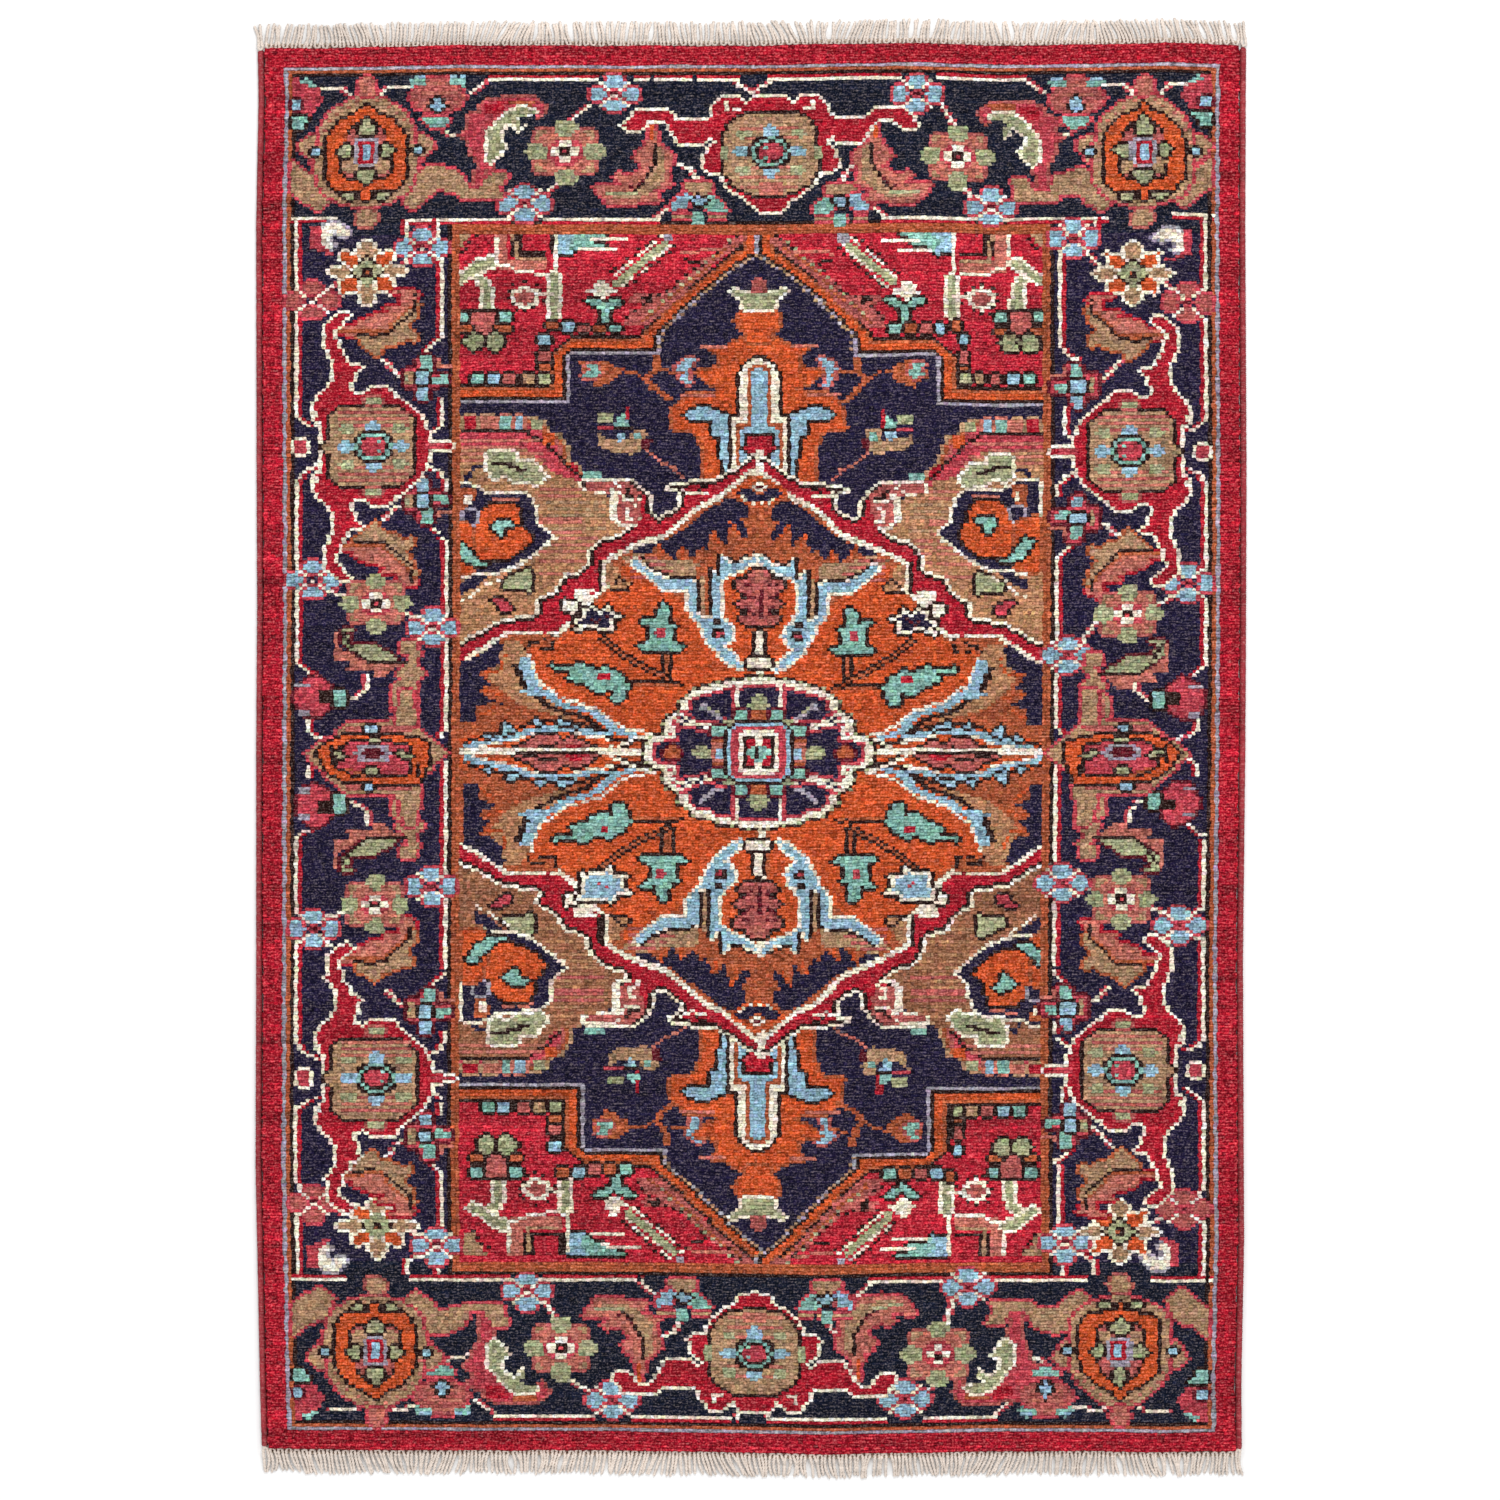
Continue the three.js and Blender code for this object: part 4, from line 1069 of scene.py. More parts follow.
def centreFlower(at):
    rim = [(0, 26), (3, 25.6), (7, 24.8), (11, 24), (13, 22.4), (17, 21.8), (18.6, 19.4), (20.8, 17.4),
           (21.4, 13.6), (24, 12.4), (25.2, 9.4), (25.4, 6.4), (28, 5.6), (29.4, 3.4), (30, 0)]
    rim += [(u, -v) for u, v in rim[-2::-1]]
    rim += [(-u, v) for u, v in rim[-2:0:-1]]
    insets(rim, ("brown", "ivory", "ivory", "rose", "navy"), at)
    dotted([(u * 0.97, v * 0.97) for u, v in rim] + [rim[0]], "sage", 3, at)
    for petal, step in (([(5.4, 22), (5.4, 13)], (1, 0)),
                        ([(8, 10.4), (12, 8.6), (15, 9.6), (19.4, 12)], (0.4, 1.2)),
                        ([(10, 8.6), (14, 8.4), (17.4, 9.4), (21, 10.4)], (0.4, -1.2)),
                        ([(21.4, 8.6), (21.4, 5), (26.6, 4)], (-0.8, -0.8))):
        strand([(u + step[0], v + step[1]) for u, v in petal], "rose", at=at, mirror="uv")
        strand(petal, "ivory", at=at, mirror="uv")
    weave([(0, 19.6), (1.4, 18), (3, 15.6), (2, 14), (0, 14)], "sage", at=at, mirror="uv")
    weave([(8.4, 11.6), (12, 14.4), (14.4, 17), (15, 15), (12, 12.4), (10, 11)], "blueGrey", at=at,
          mirror="uv")
    dotted([(11, 13.6), (14.4, 16.4)], "sage", 2, at)
    dotted([(-11, 13.6), (-14.4, 16.4)], "sage", 2, at)
    weave(oval(22, 0, 2.6, 2, 8), "rust", edge="maroon", at=at, mirror="u")
    weave([(12, 0), (12, 1.6), (16, 2.2), (17.4, 0)], "sage", at=at, mirror="uv")
    weave(oblong(7, -5, 12.4, 5), "salmon", at=at, mirror="u")
    for u0, v0, u1, v1, wool in ((-2, 10.6, 2, 13.6, "rust"), (2.6, 10.8, 5.6, 13.6, "mint"),
                                 (6, 9, 9, 10.8, "sage"), (7.6, 5.4, 12, 8.2, "mint"),
                                 (9, 3.2, 12, 4.6, "rust"), (9, 0, 11.4, 1.6, "sky")):
        weave(oblong(u0, v0, u1, v1), wool, edge="maroon" if wool == "mint" else None, at=at, mirror="uv")
    insets([(-5.4, 10.6), (5.4, 10.6), (8.6, 7), (8.6, -7), (5.4, -10.6), (-5.4, -10.6), (-8.6, -7),
            (-8.6, 7)], ("brown", "sky", "rose", "rose"), at)
    weave([(-3.4, 8), (3.4, 8), (5.4, 5.6), (5.4, -5.6), (3.4, -7), (-3.4, -7), (-5.4, -5.6),
           (-5.4, 5.6)], "ivory", at=at)
    weave(oblong(-4.4, -5, 4.4, 5), "brown", at=at)
    weave(oblong(-3.4, -4, 3.4, 4), "crimson", at=at)
    weave(oblong(-0.6, -5, 0.6, 5), "ivory", at=at)
    weave(oval(0, 0, 2.8, 2.8, 8), "mint", at=at)
    strand([(-0.5, -2), (-0.5, 2)], "brown", at=at)


def pendant(at):
    # orange pendant over each end of the medallion
    weave([(0, 126), (3.5, 126), (5, 125.5), (8, 123.5), (12, 123), (10.5, 121), (10, 117), (16, 115.5),
           (13.5, 113), (9.5, 110.5), (12, 108.8), (18.5, 108.5), (20, 106), (21.5, 104.5), (21.5, 99.5),
           (22.5, 98.4), (18, 98), (15, 95.5), (14, 90), (13.5, 76), (0, 76)], "orange", edge="rust",
          at=at, mirror="u")
    weave([(0, 135.4), (3.6, 135), (5.6, 132), (5.2, 130), (3.4, 127.4), (3.4, 125), (0, 125)], "orange",
          edge="rust", at=at, mirror="u")
    weave([(0, 140), (2, 139.6), (6.8, 141), (6.4, 139.4), (4.4, 137.6), (3.6, 135.4), (0, 135.4)], "sage",
          edge="ivory", at=at, mirror="u")
    weave([(0, 145), (1.6, 143.6), (2.6, 142), (1.6, 140.4), (0, 140)], "dullPink", at=at, mirror="u")
    strand([(8.6, 123), (14.4, 123)], "salmon", at=at, mirror="u")
    strand([(12, 108.4), (20, 108.4)], "salmon", at=at, mirror="u")
    weave([(7.8, 82), (9.4, 82), (9.6, 95.4), (11.6, 96.4), (11.6, 99.4), (12.6, 100.8), (18, 101.4),
           (19.4, 102.4), (17, 104), (14, 105.4), (12, 104.4), (8.4, 102.6), (8.4, 97), (7.8, 96)], "sky",
          edge="brown", at=at, mirror="u")
    for outline, wool in (
        ([(0, 121.4), (3.4, 119.6), (5.8, 116), (5.8, 102.8), (8.2, 102.4), (8.2, 80), (0, 80)], "brown"),
        ([(0, 120.4), (3, 118.6), (4.8, 115), (4.8, 101.8), (7.2, 101.4), (7.2, 80), (0, 80)], "ivory"),
        ([(0, 118.8), (2.2, 117.2), (3.4, 114.6), (3.4, 100.4), (5.8, 100), (5.8, 80), (0, 80)], "rust"),
        ([(0, 117.6), (1.6, 116.2), (2.4, 113), (2.4, 99), (4.8, 98.4), (4.8, 80), (0, 80)], "sky"),
        ([(0, 97), (4, 97), (4.6, 92.5), (3.4, 91), (3.4, 88), (0, 88)], "brown"),
        ([(0, 96), (3.2, 96), (3.6, 92.5), (2.2, 91), (2.2, 88), (0, 88)], "crimson"),
    ):
        weave(outline, wool, at=at, mirror="u")


def upperPalmette(at):
    # pink palmette on the long axis inside the medallion
    weave([(0, 84), (3, 82.4), (8, 79), (3.4, 75.4), (0, 74)], "orange", at=at, mirror="u")
    weave([(0, 79.6), (4, 80), (6.4, 78.4), (3, 76.6), (0, 75.8)], "navy", at=at, mirror="u")
    weave(diamond(0, 80.4, 2.4, 2.2), "ivory", edge="rust", at=at)
    weave(oblong(-0.9, 79.6, 0.9, 81), "maroon", at=at)
    dotted([(-5, 77.4), (-2, 75.6), (2, 75.6), (5, 77.4)], "ivory", 2, at)
    weave([(0, 55.4), (1.8, 55.2), (2.6, 53.4), (2.6, 51.4), (4.6, 52.4), (5.8, 52), (6, 49), (4.4, 47.6),
           (2.4, 47), (2.4, 45.6), (4.4, 45.6), (5.8, 45.2), (5.4, 43), (3.2, 42.6), (3.2, 41.6),
           (5, 40.8), (5.4, 39.4), (3.4, 38.4), (0, 38.4)], "dullPink", edge="brown", at=at, mirror="u")
    weave(oval(0, 52.6, 1.8, 2.2, 8), "salmon", at=at)
    for line in ([(0, 48), (0, 40)], [(2, 46), (4, 47.6)], [(2.6, 50), (4, 50)], [(2, 41), (3.8, 43)]):
        strand(line, "maroon", at=at, mirror="u")
    strand([(-3, 37.4), (3, 37.4)], "brown", at=at)
    weave(oblong(-1, 26, 1, 36), "ivory", edge="brown", at=at)
    weave(oblong(-2.6, 25, 2.6, 27.6), "ivory", edge="brown", at=at)


fieldCentre = (2, -1.5)
# how the quarters of the field sit: left-right, up-down, and how wide each was woven
spandrelRun = {(-1, 1): (0, 0, 1), (1, 1): (3.9, -0.6, 0.95), (-1, -1): (2.6, 3, 0.99),
               (1, -1): (3.9, 2.6, 0.93)}
fieldRun = {(-1, 1): (0, 0, 1), (1, 1): (3.9, -1, 0.95), (-1, -1): (0.6, -3, 1), (1, -1): (4.9, -3, 0.95)}

# and how many knots these two stand off that place, across and up
leafShift = {(-1, 1): (0, 0), (1, 1): (-1, 0), (-1, -1): (0, 3), (1, -1): (-3.6, 3)}
palmetteShift = {(-1, 1): (0, 0), (1, 1): (-4.4, 2), (-1, -1): (3.2, 0.4), (1, -1): (-0.4, -1.4)}


def drawField():
    weave(oblong(-77, -162, 77, 162), "navy")
    for (sideU, sideV), (u, v, wide) in spandrelRun.items():
        spandrel((u, v, sideU * wide, sideV))
        navyFlowers((u, v if sideV > 0 else v - 3.6, sideU * wide, sideV))
    for (sideU, sideV), (u, v, wide) in fieldRun.items():
        shoulder((u, v + (0 if sideV > 0 else 5), sideU * wide, sideV))
        camelGround((u, v, sideU * wide, sideV))
        sageLeaf((u + leafShift[sideU, sideV][0], v + leafShift[sideU, sideV][1], sideU * wide, sideV))
        halfPalmette((u + palmetteShift[sideU, sideV][0], v + palmetteShift[sideU, sideV][1],
                      sideU * wide, sideV))
    for sideV in (1, -1):
        pendant((fieldCentre[0], fieldCentre[1] + sideV * 1.5, 1, sideV))
    for (sideU, sideV), (u, v, wide) in fieldRun.items():
        redRibbon((u, v, sideU * wide, sideV))
    for (sideU, sideV), (u, v, wide) in fieldRun.items():
        medallionGround((u, v, sideU * wide, sideV))
        medallionStar((u, v if sideV > 0 else v - 2, sideU * wide, sideV))
    for sideV in (1, -1):
        upperPalmette((fieldCentre[0], fieldCentre[1] + sideV * 1.5, 1, sideV))
    centreFlower((fieldCentre[0], fieldCentre[1] + 0.4, 1, 0.93))
    frame = covered(oblong(-77, -162, 77, 162)) & ~covered(oblong(-73.6, -157.6, 73.6, 157.6))
    chart[frame] = woolNames.index("rust")
    frame = covered(oblong(-77, -162, 77, 162)) & ~covered(oblong(-75.6, -160.6, 75.6, 160.6))
    chart[frame] = woolNames.index("brown")


drawField()
drawBorders()
drawMainBorder()
groundNames, grounds = splitGrounds()
print("stage: chart drawn")


def lie(co):
    # where a point of the straight rug comes to lie, all of it in metres
    x, y = co[:, 0], co[:, 1]
    s = np.clip(x / weaveHigh.x, -1, 1)
    t = np.clip(y / weaveHigh.y, -1, 1)
    left = np.interp(t, edgeRun["along"], edgeRun["left"])
    right = np.interp(t, edgeRun["along"], edgeRun["right"])
    top = np.interp(s, edgeRun["across"], edgeRun["top"])
    bottom = np.interp(s, edgeRun["across"], edgeRun["bottom"])
    swell = np.sin(7.1 * x + 1.3) * np.sin(5.3 * y + 0.4) + 0.5 * np.sin(15 * x - 9 * y)
    out = co.copy()
    out[:, 0] += left + (right - left) * (s + 1) / 2
    out[:, 1] += bottom + (top - bottom) * (t + 1) / 2
    out[:, 2] += edgeRun["lift"] * 0.5 * swell * np.clip(co[:, 2] / pileTop, 0, 1)
    return out


def smoothNoise(shape, reach):
    # random numbers that change slowly, about -1 to 1
    coarse = chance.normal(size=(shape[0] // reach[0] + 3, shape[1] // reach[1] + 3))
    r = np.arange(shape[0]) / reach[0]
    c = np.arange(shape[1]) / reach[1]
    r0, c0 = r.astype(int), c.astype(int)
    fr = (r - r0)[:, None]
    fc = (c - c0)[None, :]
    fr, fc = fr * fr * (3 - 2 * fr), fc * fc * (3 - 2 * fc)
    upper = coarse[r0][:, c0] * (1 - fc) + coarse[r0][:, c0 + 1] * fc
    lower = coarse[r0 + 1][:, c0] * (1 - fc) + coarse[r0 + 1][:, c0 + 1] * fc
    return upper * (1 - fr) + lower * fr


# two steps to a knot each way, so that every knot has a crown and a groove
fine = (2 * loom["rows"] + 1, 2 * loom["columns"] + 1)
rowShift = loom["rowDrift"] * (smoothNoise(fine, (3, 14))
                               + np.clip(0.7 * chance.normal(size=fine), -1.2, 1.2))
columnShift = np.clip(loom["columnDrift"] * smoothNoise(fine, (2, 2)),
                      -loom["mostDrift"], loom["mostDrift"])
shearing = loom["knotHeight"] * (smoothNoise(fine, (2, 2)) + 0.8 * smoothNoise(fine, (3, 24)))


def pileHeights():
    # a groove along each row, deeper here and closed by loose tufts there
    j = np.arange(fine[0])[:, None] % 2
    i = np.arange(fine[1])[None, :] % 2
    tufts = chance.uniform(0, 1, fine)
    between = 1 - loom["columnNap"] * (1 - i) * 2 * tufts
    crown = np.where(j == 1, between, 0.7 * tufts ** 1.5 + 0.1 * i)
    worn = np.isin(chart, [woolNames.index("brown"), woolNames.index("ink")])
    sunk = np.zeros(fine)
    sunk[1::2, 1::2] = worn * loom["lowPile"]
    return crown, loom["nap"] * (crown - 1) + shearing - sunk


napShare, napHeight = pileHeights()


def pilePiece(node, index):
    # one ground of the design, knot by knot
    mask = grounds == index
    rows = np.where(mask.any(1))[0]
    columns = np.where(mask.any(0))[0]
    r0, r1, c0, c1 = rows[0], rows[-1] + 1, columns[0], columns[-1] + 1
    bm = bmesh.new()
    bmesh.ops.create_grid(bm, x_segments=2 * (c1 - c0), y_segments=2 * (r1 - r0), size=0.5)
    bmesh.ops.scale(bm, verts=bm.verts, vec=(c1 - c0, r1 - r0, 1))
    bmesh.ops.translate(bm, verts=bm.verts, vec=((c0 + c1) / 2, (r0 + r1) / 2, 0))
    if not mask[r0:r1, c0:c1].all():
        gone = []
        for face in bm.faces:
            middle = face.calc_center_median()
            if not mask[int(middle.y), int(middle.x)]:
                gone.append(face)
        bmesh.ops.delete(bm, geom=gone, context="FACES")
    rim = [edge for edge in bm.edges if edge.is_boundary]
    skirt = bmesh.ops.extrude_edge_only(bm, edges=rim)["geom"]
    skirtVerts = [g for g in skirt if isinstance(g, bmesh.types.BMVert)]
    bmesh.ops.translate(bm, verts=skirtVerts, vec=(0, 0, -1))
    bmesh.ops.recalc_face_normals(bm, faces=bm.faces)
    piece = toObject(bm, "pile_" + node)
    finishPile(piece)
    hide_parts(node)
    return piece


def pointsOf(mesh):
    co = np.empty(len(mesh.vertices) * 3)
    mesh.vertices.foreach_get("co", co)
    return co.reshape(-1, 3)


def setNapShading(mesh, values):
    nap = mesh.attributes.new("nap", "FLOAT", "POINT")
    nap.data.foreach_set("value", np.asarray(values, np.float32))


def finishPile(piece):
    mesh = piece.data
    co = pointsOf(mesh)
    middle = np.empty(len(mesh.polygons) * 3)
    normal = np.empty(len(mesh.polygons) * 3)
    mesh.polygons.foreach_get("center", middle)
    mesh.polygons.foreach_get("normal", normal)
    middle = middle.reshape(-1, 3) - 0.25 * normal.reshape(-1, 3)
    knotColumn = np.clip(np.floor(middle[:, 0]).astype(int), 0, loom["columns"] - 1)
    knotRow = np.clip(np.floor(middle[:, 1]).astype(int), 0, loom["rows"] - 1)
    paintKnots(mesh, knotRow, knotColumn)
    i = np.rint(co[:, 0] * 2).astype(int)
    j = np.rint(co[:, 1] * 2).astype(int)
    low = co[:, 2] < -0.5
    place = np.empty_like(co)
    place[:, 0] = weaveLow.x + co[:, 0] * knotWide + columnShift[j, i]
    place[:, 1] = weaveLow.y + co[:, 1] * knotHigh + rowShift[j, i]
    place[:, 2] = np.where(low, weaveHigh.z + loom["pileGap"], pileTop + napHeight[j, i])
    nap = np.where(low, 0, napShare[j, i])
    mesh.vertices.foreach_set("co", lie(place).ravel())
    # the nap share, 1 on the crowns, lower in the grooves and 0 on the skirt, steers the painted groove
    # shade and crown highlight
    setNapShading(mesh, nap)
    mesh.shade_smooth()
    mesh.update()


knotShade = np.clip(1 + loom["knotShade"] * chance.normal(size=chart.shape), 0.45, 1.7)
knotTint = 1 + loom["knotTint"] * chance.normal(size=chart.shape + (3,))
rowShade = 1 + loom["rowShade"] * chance.normal(size=(loom["rows"], 1))
knotColour = dyes[chart] * knotTint * (knotShade * rowShade)[..., None]


def paintKnots(mesh, row, column):
    shade = np.ones((len(row), 4), np.float32)
    shade[:, :3] = np.clip(knotColour[row, column], 0, 1)
    yarn = mesh.attributes.new("yarn", "FLOAT_COLOR", "FACE")
    yarn.data.foreach_set("color", shade.ravel())


def socket(group, name, kind, way, value=None):
    made = group.interface.new_socket(name=name, in_out=way, socket_type="NodeSocket" + kind)
    if value is not None:
        made.default_value = value


def addNode(tree, kind, **values):
    node = tree.nodes.new("ShaderNode" + kind)
    for key, value in values.items():
        setattr(node, key, value)
    return node


fibreMake = {
    "band": 2.2,             # weight of the broad dye lots
    "streak": 1.9,           # of the single rows
    "thread": 0.8,           # and of the yarns against the hairs
    "darkest": 0.2,
    # painted highlight: the pale colour mixed into the crowns, and how strongly
    "crownHighlightShade": (0.62, 0.5, 0.45, 1),
    "crownHighlightShare": 1.1,
    "roughness": 0.97,
    "gloss": 0.14,           # how much less rough the hairs' sides are
    "specular": 0.05,
    "sheenRoughness": 0.5,
    "relief": 0.0006,
}


def fibreGroup():
    # shade changes from dye lot to dye lot, row lines, and the hairiness of spun wool, with painted shade
    # that darkens the grooves and a painted highlight that pales the crowns
    group = bpy.data.node_groups.new("spunWool", "ShaderNodeTree")
    socket(group, "Yarn", "Color", "INPUT")
    socket(group, "Nap", "Float", "INPUT", 1.0)
    socket(group, "Abrash", "Float", "INPUT", 0.2)
    socket(group, "Fibre", "Float", "INPUT", 0.3)
    socket(group, "GrooveShade", "Float", "INPUT", 0.4)
    socket(group, "Colour", "Color", "OUTPUT")
    socket(group, "Roughness", "Float", "OUTPUT")
    socket(group, "Height", "Float", "OUTPUT")
    enter = addNode(group, "TexCoord")
    inside = group.nodes.new("NodeGroupInput")
    outside = group.nodes.new("NodeGroupOutput")
    join = group.links.new

    def noise(scale, stretch, detail):
        mapping = addNode(group, "Mapping")
        mapping.inputs["Scale"].default_value = stretch
        texture = addNode(group, "TexNoise")
        texture.inputs["Scale"].default_value = scale
        texture.inputs["Detail"].default_value = detail
        join(enter.outputs["Object"], mapping.inputs["Vector"])
        join(mapping.outputs["Vector"], texture.inputs["Vector"])
        return texture.outputs["Fac"]

    def maths(kind, a, b, c=None):
        node = addNode(group, "Math", operation=kind)
        for slot, value in zip(node.inputs, (a, b, c)):
            if value is None:
                continue
            if isinstance(value, (int, float)):
                slot.default_value = value
            else:
                join(value, slot)
        return node.outputs[0]

    band = noise(1, (2.2, 34, 1), 3)
    streak = noise(1, (14, 190, 1), 2)
    thread = noise(1, (110, 560, 1), 3)
    hair = noise(430, (1, 1, 1), 5)
    tone = maths("ADD", maths("MULTIPLY", maths("SUBTRACT", band, 0.5), fibreMake["band"]),
                 maths("MULTIPLY", maths("SUBTRACT", streak, 0.5), fibreMake["streak"]))
    lot = maths("MULTIPLY_ADD", tone, inside.outputs["Abrash"], 1.0)
    grain = maths("ADD", maths("SUBTRACT", hair, 0.5),
                  maths("MULTIPLY", maths("SUBTRACT", thread, 0.5), fibreMake["thread"]))
    ply = maths("MAXIMUM", maths("MULTIPLY_ADD", grain, inside.outputs["Fibre"], 1.0), fibreMake["darkest"])
    # painted shade: the colour is darkened in the grooves, where the nap share is low, by the groove amount
    grooveShadow = maths("SUBTRACT", 1.0, maths("MULTIPLY", maths("SUBTRACT", 1.0, inside.outputs["Nap"]),
                                       inside.outputs["GrooveShade"]))
    bright = maths("MULTIPLY", maths("MULTIPLY", lot, ply), grooveShadow)
    shaded = addNode(group, "VectorMath", operation="SCALE")
    join(inside.outputs["Yarn"], shaded.inputs[0])
    join(bright, shaded.inputs["Scale"])
    # painted highlight: where hairs stand high on the crowns their tips are mixed towards a pale sheen
    # colour, paler than the yarn's side
    highlighted = addNode(group, "Mix", data_type="RGBA")
    highlighted.inputs["B"].default_value = fibreMake["crownHighlightShade"]
    litCrowns = maths("MULTIPLY", grain, inside.outputs["Nap"])
    crownHighlightShare = maths("MAXIMUM", maths("MULTIPLY", litCrowns, fibreMake["crownHighlightShare"]), 0.0)
    join(crownHighlightShare, highlighted.inputs["Factor"])
    join(shaded.outputs[0], highlighted.inputs["A"])
    join(highlighted.outputs["Result"], outside.inputs["Colour"])
    join(maths("SUBTRACT", fibreMake["roughness"], maths("MULTIPLY", hair, fibreMake["gloss"])),
         outside.inputs["Roughness"])
    join(hair, outside.inputs["Height"])
    return group


spunWool = fibreGroup()


def woolMaterial(name, abrash=0.2, fibre=2.7, grooveShade=0.65, sheen=0.02, bump=0.6, shade=None):
    # shade is a plain yarn; without it the colour is the knot's own
    material = bpy.data.materials.new(name)
    material.use_nodes = True
    tree = material.node_tree
    shader = tree.nodes["Principled BSDF"]
    shader.inputs["Sheen Weight"].default_value = sheen
    shader.inputs["Sheen Roughness"].default_value = fibreMake["sheenRoughness"]
    shader.inputs["Specular IOR Level"].default_value = fibreMake["specular"]
    wool = addNode(tree, "Group", node_tree=spunWool)
    wool.inputs["Abrash"].default_value = abrash
    wool.inputs["Fibre"].default_value = fibre
    # painted shade: how far the colour is darkened down in the grooves
    wool.inputs["GrooveShade"].default_value = grooveShade
    if shade is None:
        yarn = addNode(tree, "Attribute", attribute_name="yarn")
        tree.links.new(yarn.outputs["Color"], wool.inputs["Yarn"])
    else:
        wool.inputs["Yarn"].default_value = (*toLinear(shade), 1)
    nap = addNode(tree, "Attribute", attribute_name="nap")
    tree.links.new(nap.outputs["Fac"], wool.inputs["Nap"])
    relief = addNode(tree, "Bump")
    relief.inputs["Strength"].default_value = bump
    relief.inputs["Distance"].default_value = fibreMake["relief"]
    tree.links.new(wool.outputs["Height"], relief.inputs["Height"])
    tree.links.new(relief.outputs["Normal"], shader.inputs["Normal"])
    tree.links.new(wool.outputs["Colour"], shader.inputs["Base Color"])
    tree.links.new(wool.outputs["Roughness"], shader.inputs["Roughness"])
    return material


pileWools = {    # record slot: how uneven the dye is in that ground
    "red_wool": woolMaterial("crimsonBorderWool", abrash=0.6, fibre=3.4),
    "guard_wool": woolMaterial("guardStripeWool", abrash=0.25),
    "border_wool": woolMaterial("mainBorderWool", abrash=0.35),
    "rust_wool": woolMaterial("innerGuardWool", abrash=0.25),
    "spandrel_wool": woolMaterial("spandrelWool", abrash=0.6, fibre=3),
    "navy_wool": woolMaterial("navyGroundWool", abrash=0.35),
    "camel_wool": woolMaterial("camelGroundWool", abrash=0.3),
    "medallion_wool": woolMaterial("medallionWool", abrash=0.3),
}
slotOf = {part["node"]: part["material_slot"] for part in frame["record"]["subparts"]}

rugPieces = []
for index, node in enumerate(groundNames):
    piece = pilePiece(node, index)
    piece.data.materials.append(pileWools[slotOf[node]])
    rugPieces.append(piece)
print("stage: pile", len(rugPieces), "grounds")


backBead = 0.00025       # height of a knot's back over the weave


def foundationPiece():
    # the back of the rug shows the same pattern, one knot back for each two rows
    bm = bmesh.new()
    bmesh.ops.create_grid(bm, x_segments=loom["columns"], y_segments=loom["rows"] // 2, size=0.5)
    bmesh.ops.scale(bm, verts=bm.verts, vec=(loom["columns"], loom["rows"], 1))
    bmesh.ops.translate(bm, verts=bm.verts, vec=(halfColumns, halfRows, 0))
    bmesh.ops.reverse_faces(bm, faces=bm.faces)
    rim = [edge for edge in bm.edges if edge.is_boundary]
    walls = bmesh.ops.extrude_edge_only(bm, edges=rim)["geom"]
    upper = [g for g in walls if isinstance(g, bmesh.types.BMVert)]
    bmesh.ops.translate(bm, verts=upper, vec=(0, 0, 1))
    bmesh.ops.edgeloop_fill(bm, edges=[edge for edge in bm.edges if edge.is_boundary])
    bmesh.ops.recalc_face_normals(bm, faces=bm.faces)
    piece = toObject(bm, "rug_foundation")
    mesh = piece.data
    middle = np.empty(len(mesh.polygons) * 3)
    mesh.polygons.foreach_get("center", middle)
    middle = middle.reshape(-1, 3)
    column = np.clip(middle[:, 0].astype(int), 0, loom["columns"] - 1)
    row = np.clip((middle[:, 1] - 0.5).astype(int), 0, loom["rows"] - 1)
    paintKnots(mesh, row, column)
    co = pointsOf(mesh)
    low = co[:, 2] < 0.5
    bead = backBead / 2 * (1 + np.cos(math.pi * np.rint(co[:, 0])))
    place = np.empty_like(co)
    place[:, 0] = weaveLow.x + co[:, 0] * knotWide
    place[:, 1] = weaveLow.y + co[:, 1] * knotHigh
    place[:, 2] = np.where(low, weaveLow.z + bead, weaveHigh.z)
    mesh.vertices.foreach_set("co", lie(place).ravel())
    # painted shade: the nap share darkens the back a little and the top face and the sides, under the pile,
    # much more
    setNapShading(mesh, np.where(low, 0.7, 0.2))
    mesh.materials.append(woolMaterial("foundationWeave", abrash=0.2, sheen=0.05))
    mesh.update()
    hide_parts("ground_weave")
    return piece


foundation = foundationPiece()
print("stage: foundation")

cottons = {
    "warp": woolMaterial("fringeCotton", abrash=0.3, fibre=0.7, grooveShade=0.8, sheen=0.05,
                         shade=(226, 213, 202)),
    "twine": woolMaterial("lockingCotton", abrash=0.2, fibre=0.4, grooveShade=0.5, sheen=0.08,
                          shade=(224, 206, 184)),
    "kilim": woolMaterial("kilimCotton", abrash=0.3, fibre=0.4, grooveShade=0.5, sheen=0.08,
                          shade=(206, 176, 160)),
    "core": woolMaterial("coreCotton", abrash=0.2, fibre=0.4, grooveShade=0.2, sheen=0.05,
                         shade=(214, 198, 172)),
    "overcast": woolMaterial("overcastWool", abrash=0.5, fibre=0.9, grooveShade=0.8, shade=(158, 54, 62)),
}


def layDown(piece):
    # gives a finished piece the same run of the edges as the pile beside it
    mesh = piece.data
    mesh.vertices.foreach_set("co", lie(pointsOf(mesh)).ravel())
    mesh.update()


def dress(piece, node, material):
    piece.data.materials.append(material)
    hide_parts(node)
    rugPieces.append(piece)


def pliedProfile(name, radius, waist):
    # section of two yarns twisted together
    data = bpy.data.curves.new(name, "CURVE")
    data.dimensions = "2D"
    spline = data.splines.new("POLY")
    sides = 8
    spline.points.add(sides - 1)
    for i, point in enumerate(spline.points):
        turn = 2 * math.pi * i / sides
        reach = radius * (1 - waist + waist * math.cos(2 * turn))
        point.co = (reach * math.cos(turn), reach * math.sin(turn), 0, 1)
    spline.use_cyclic_u = True
    section = bpy.data.objects.new(name, data)
    bpy.context.collection.objects.link(section)
    return section


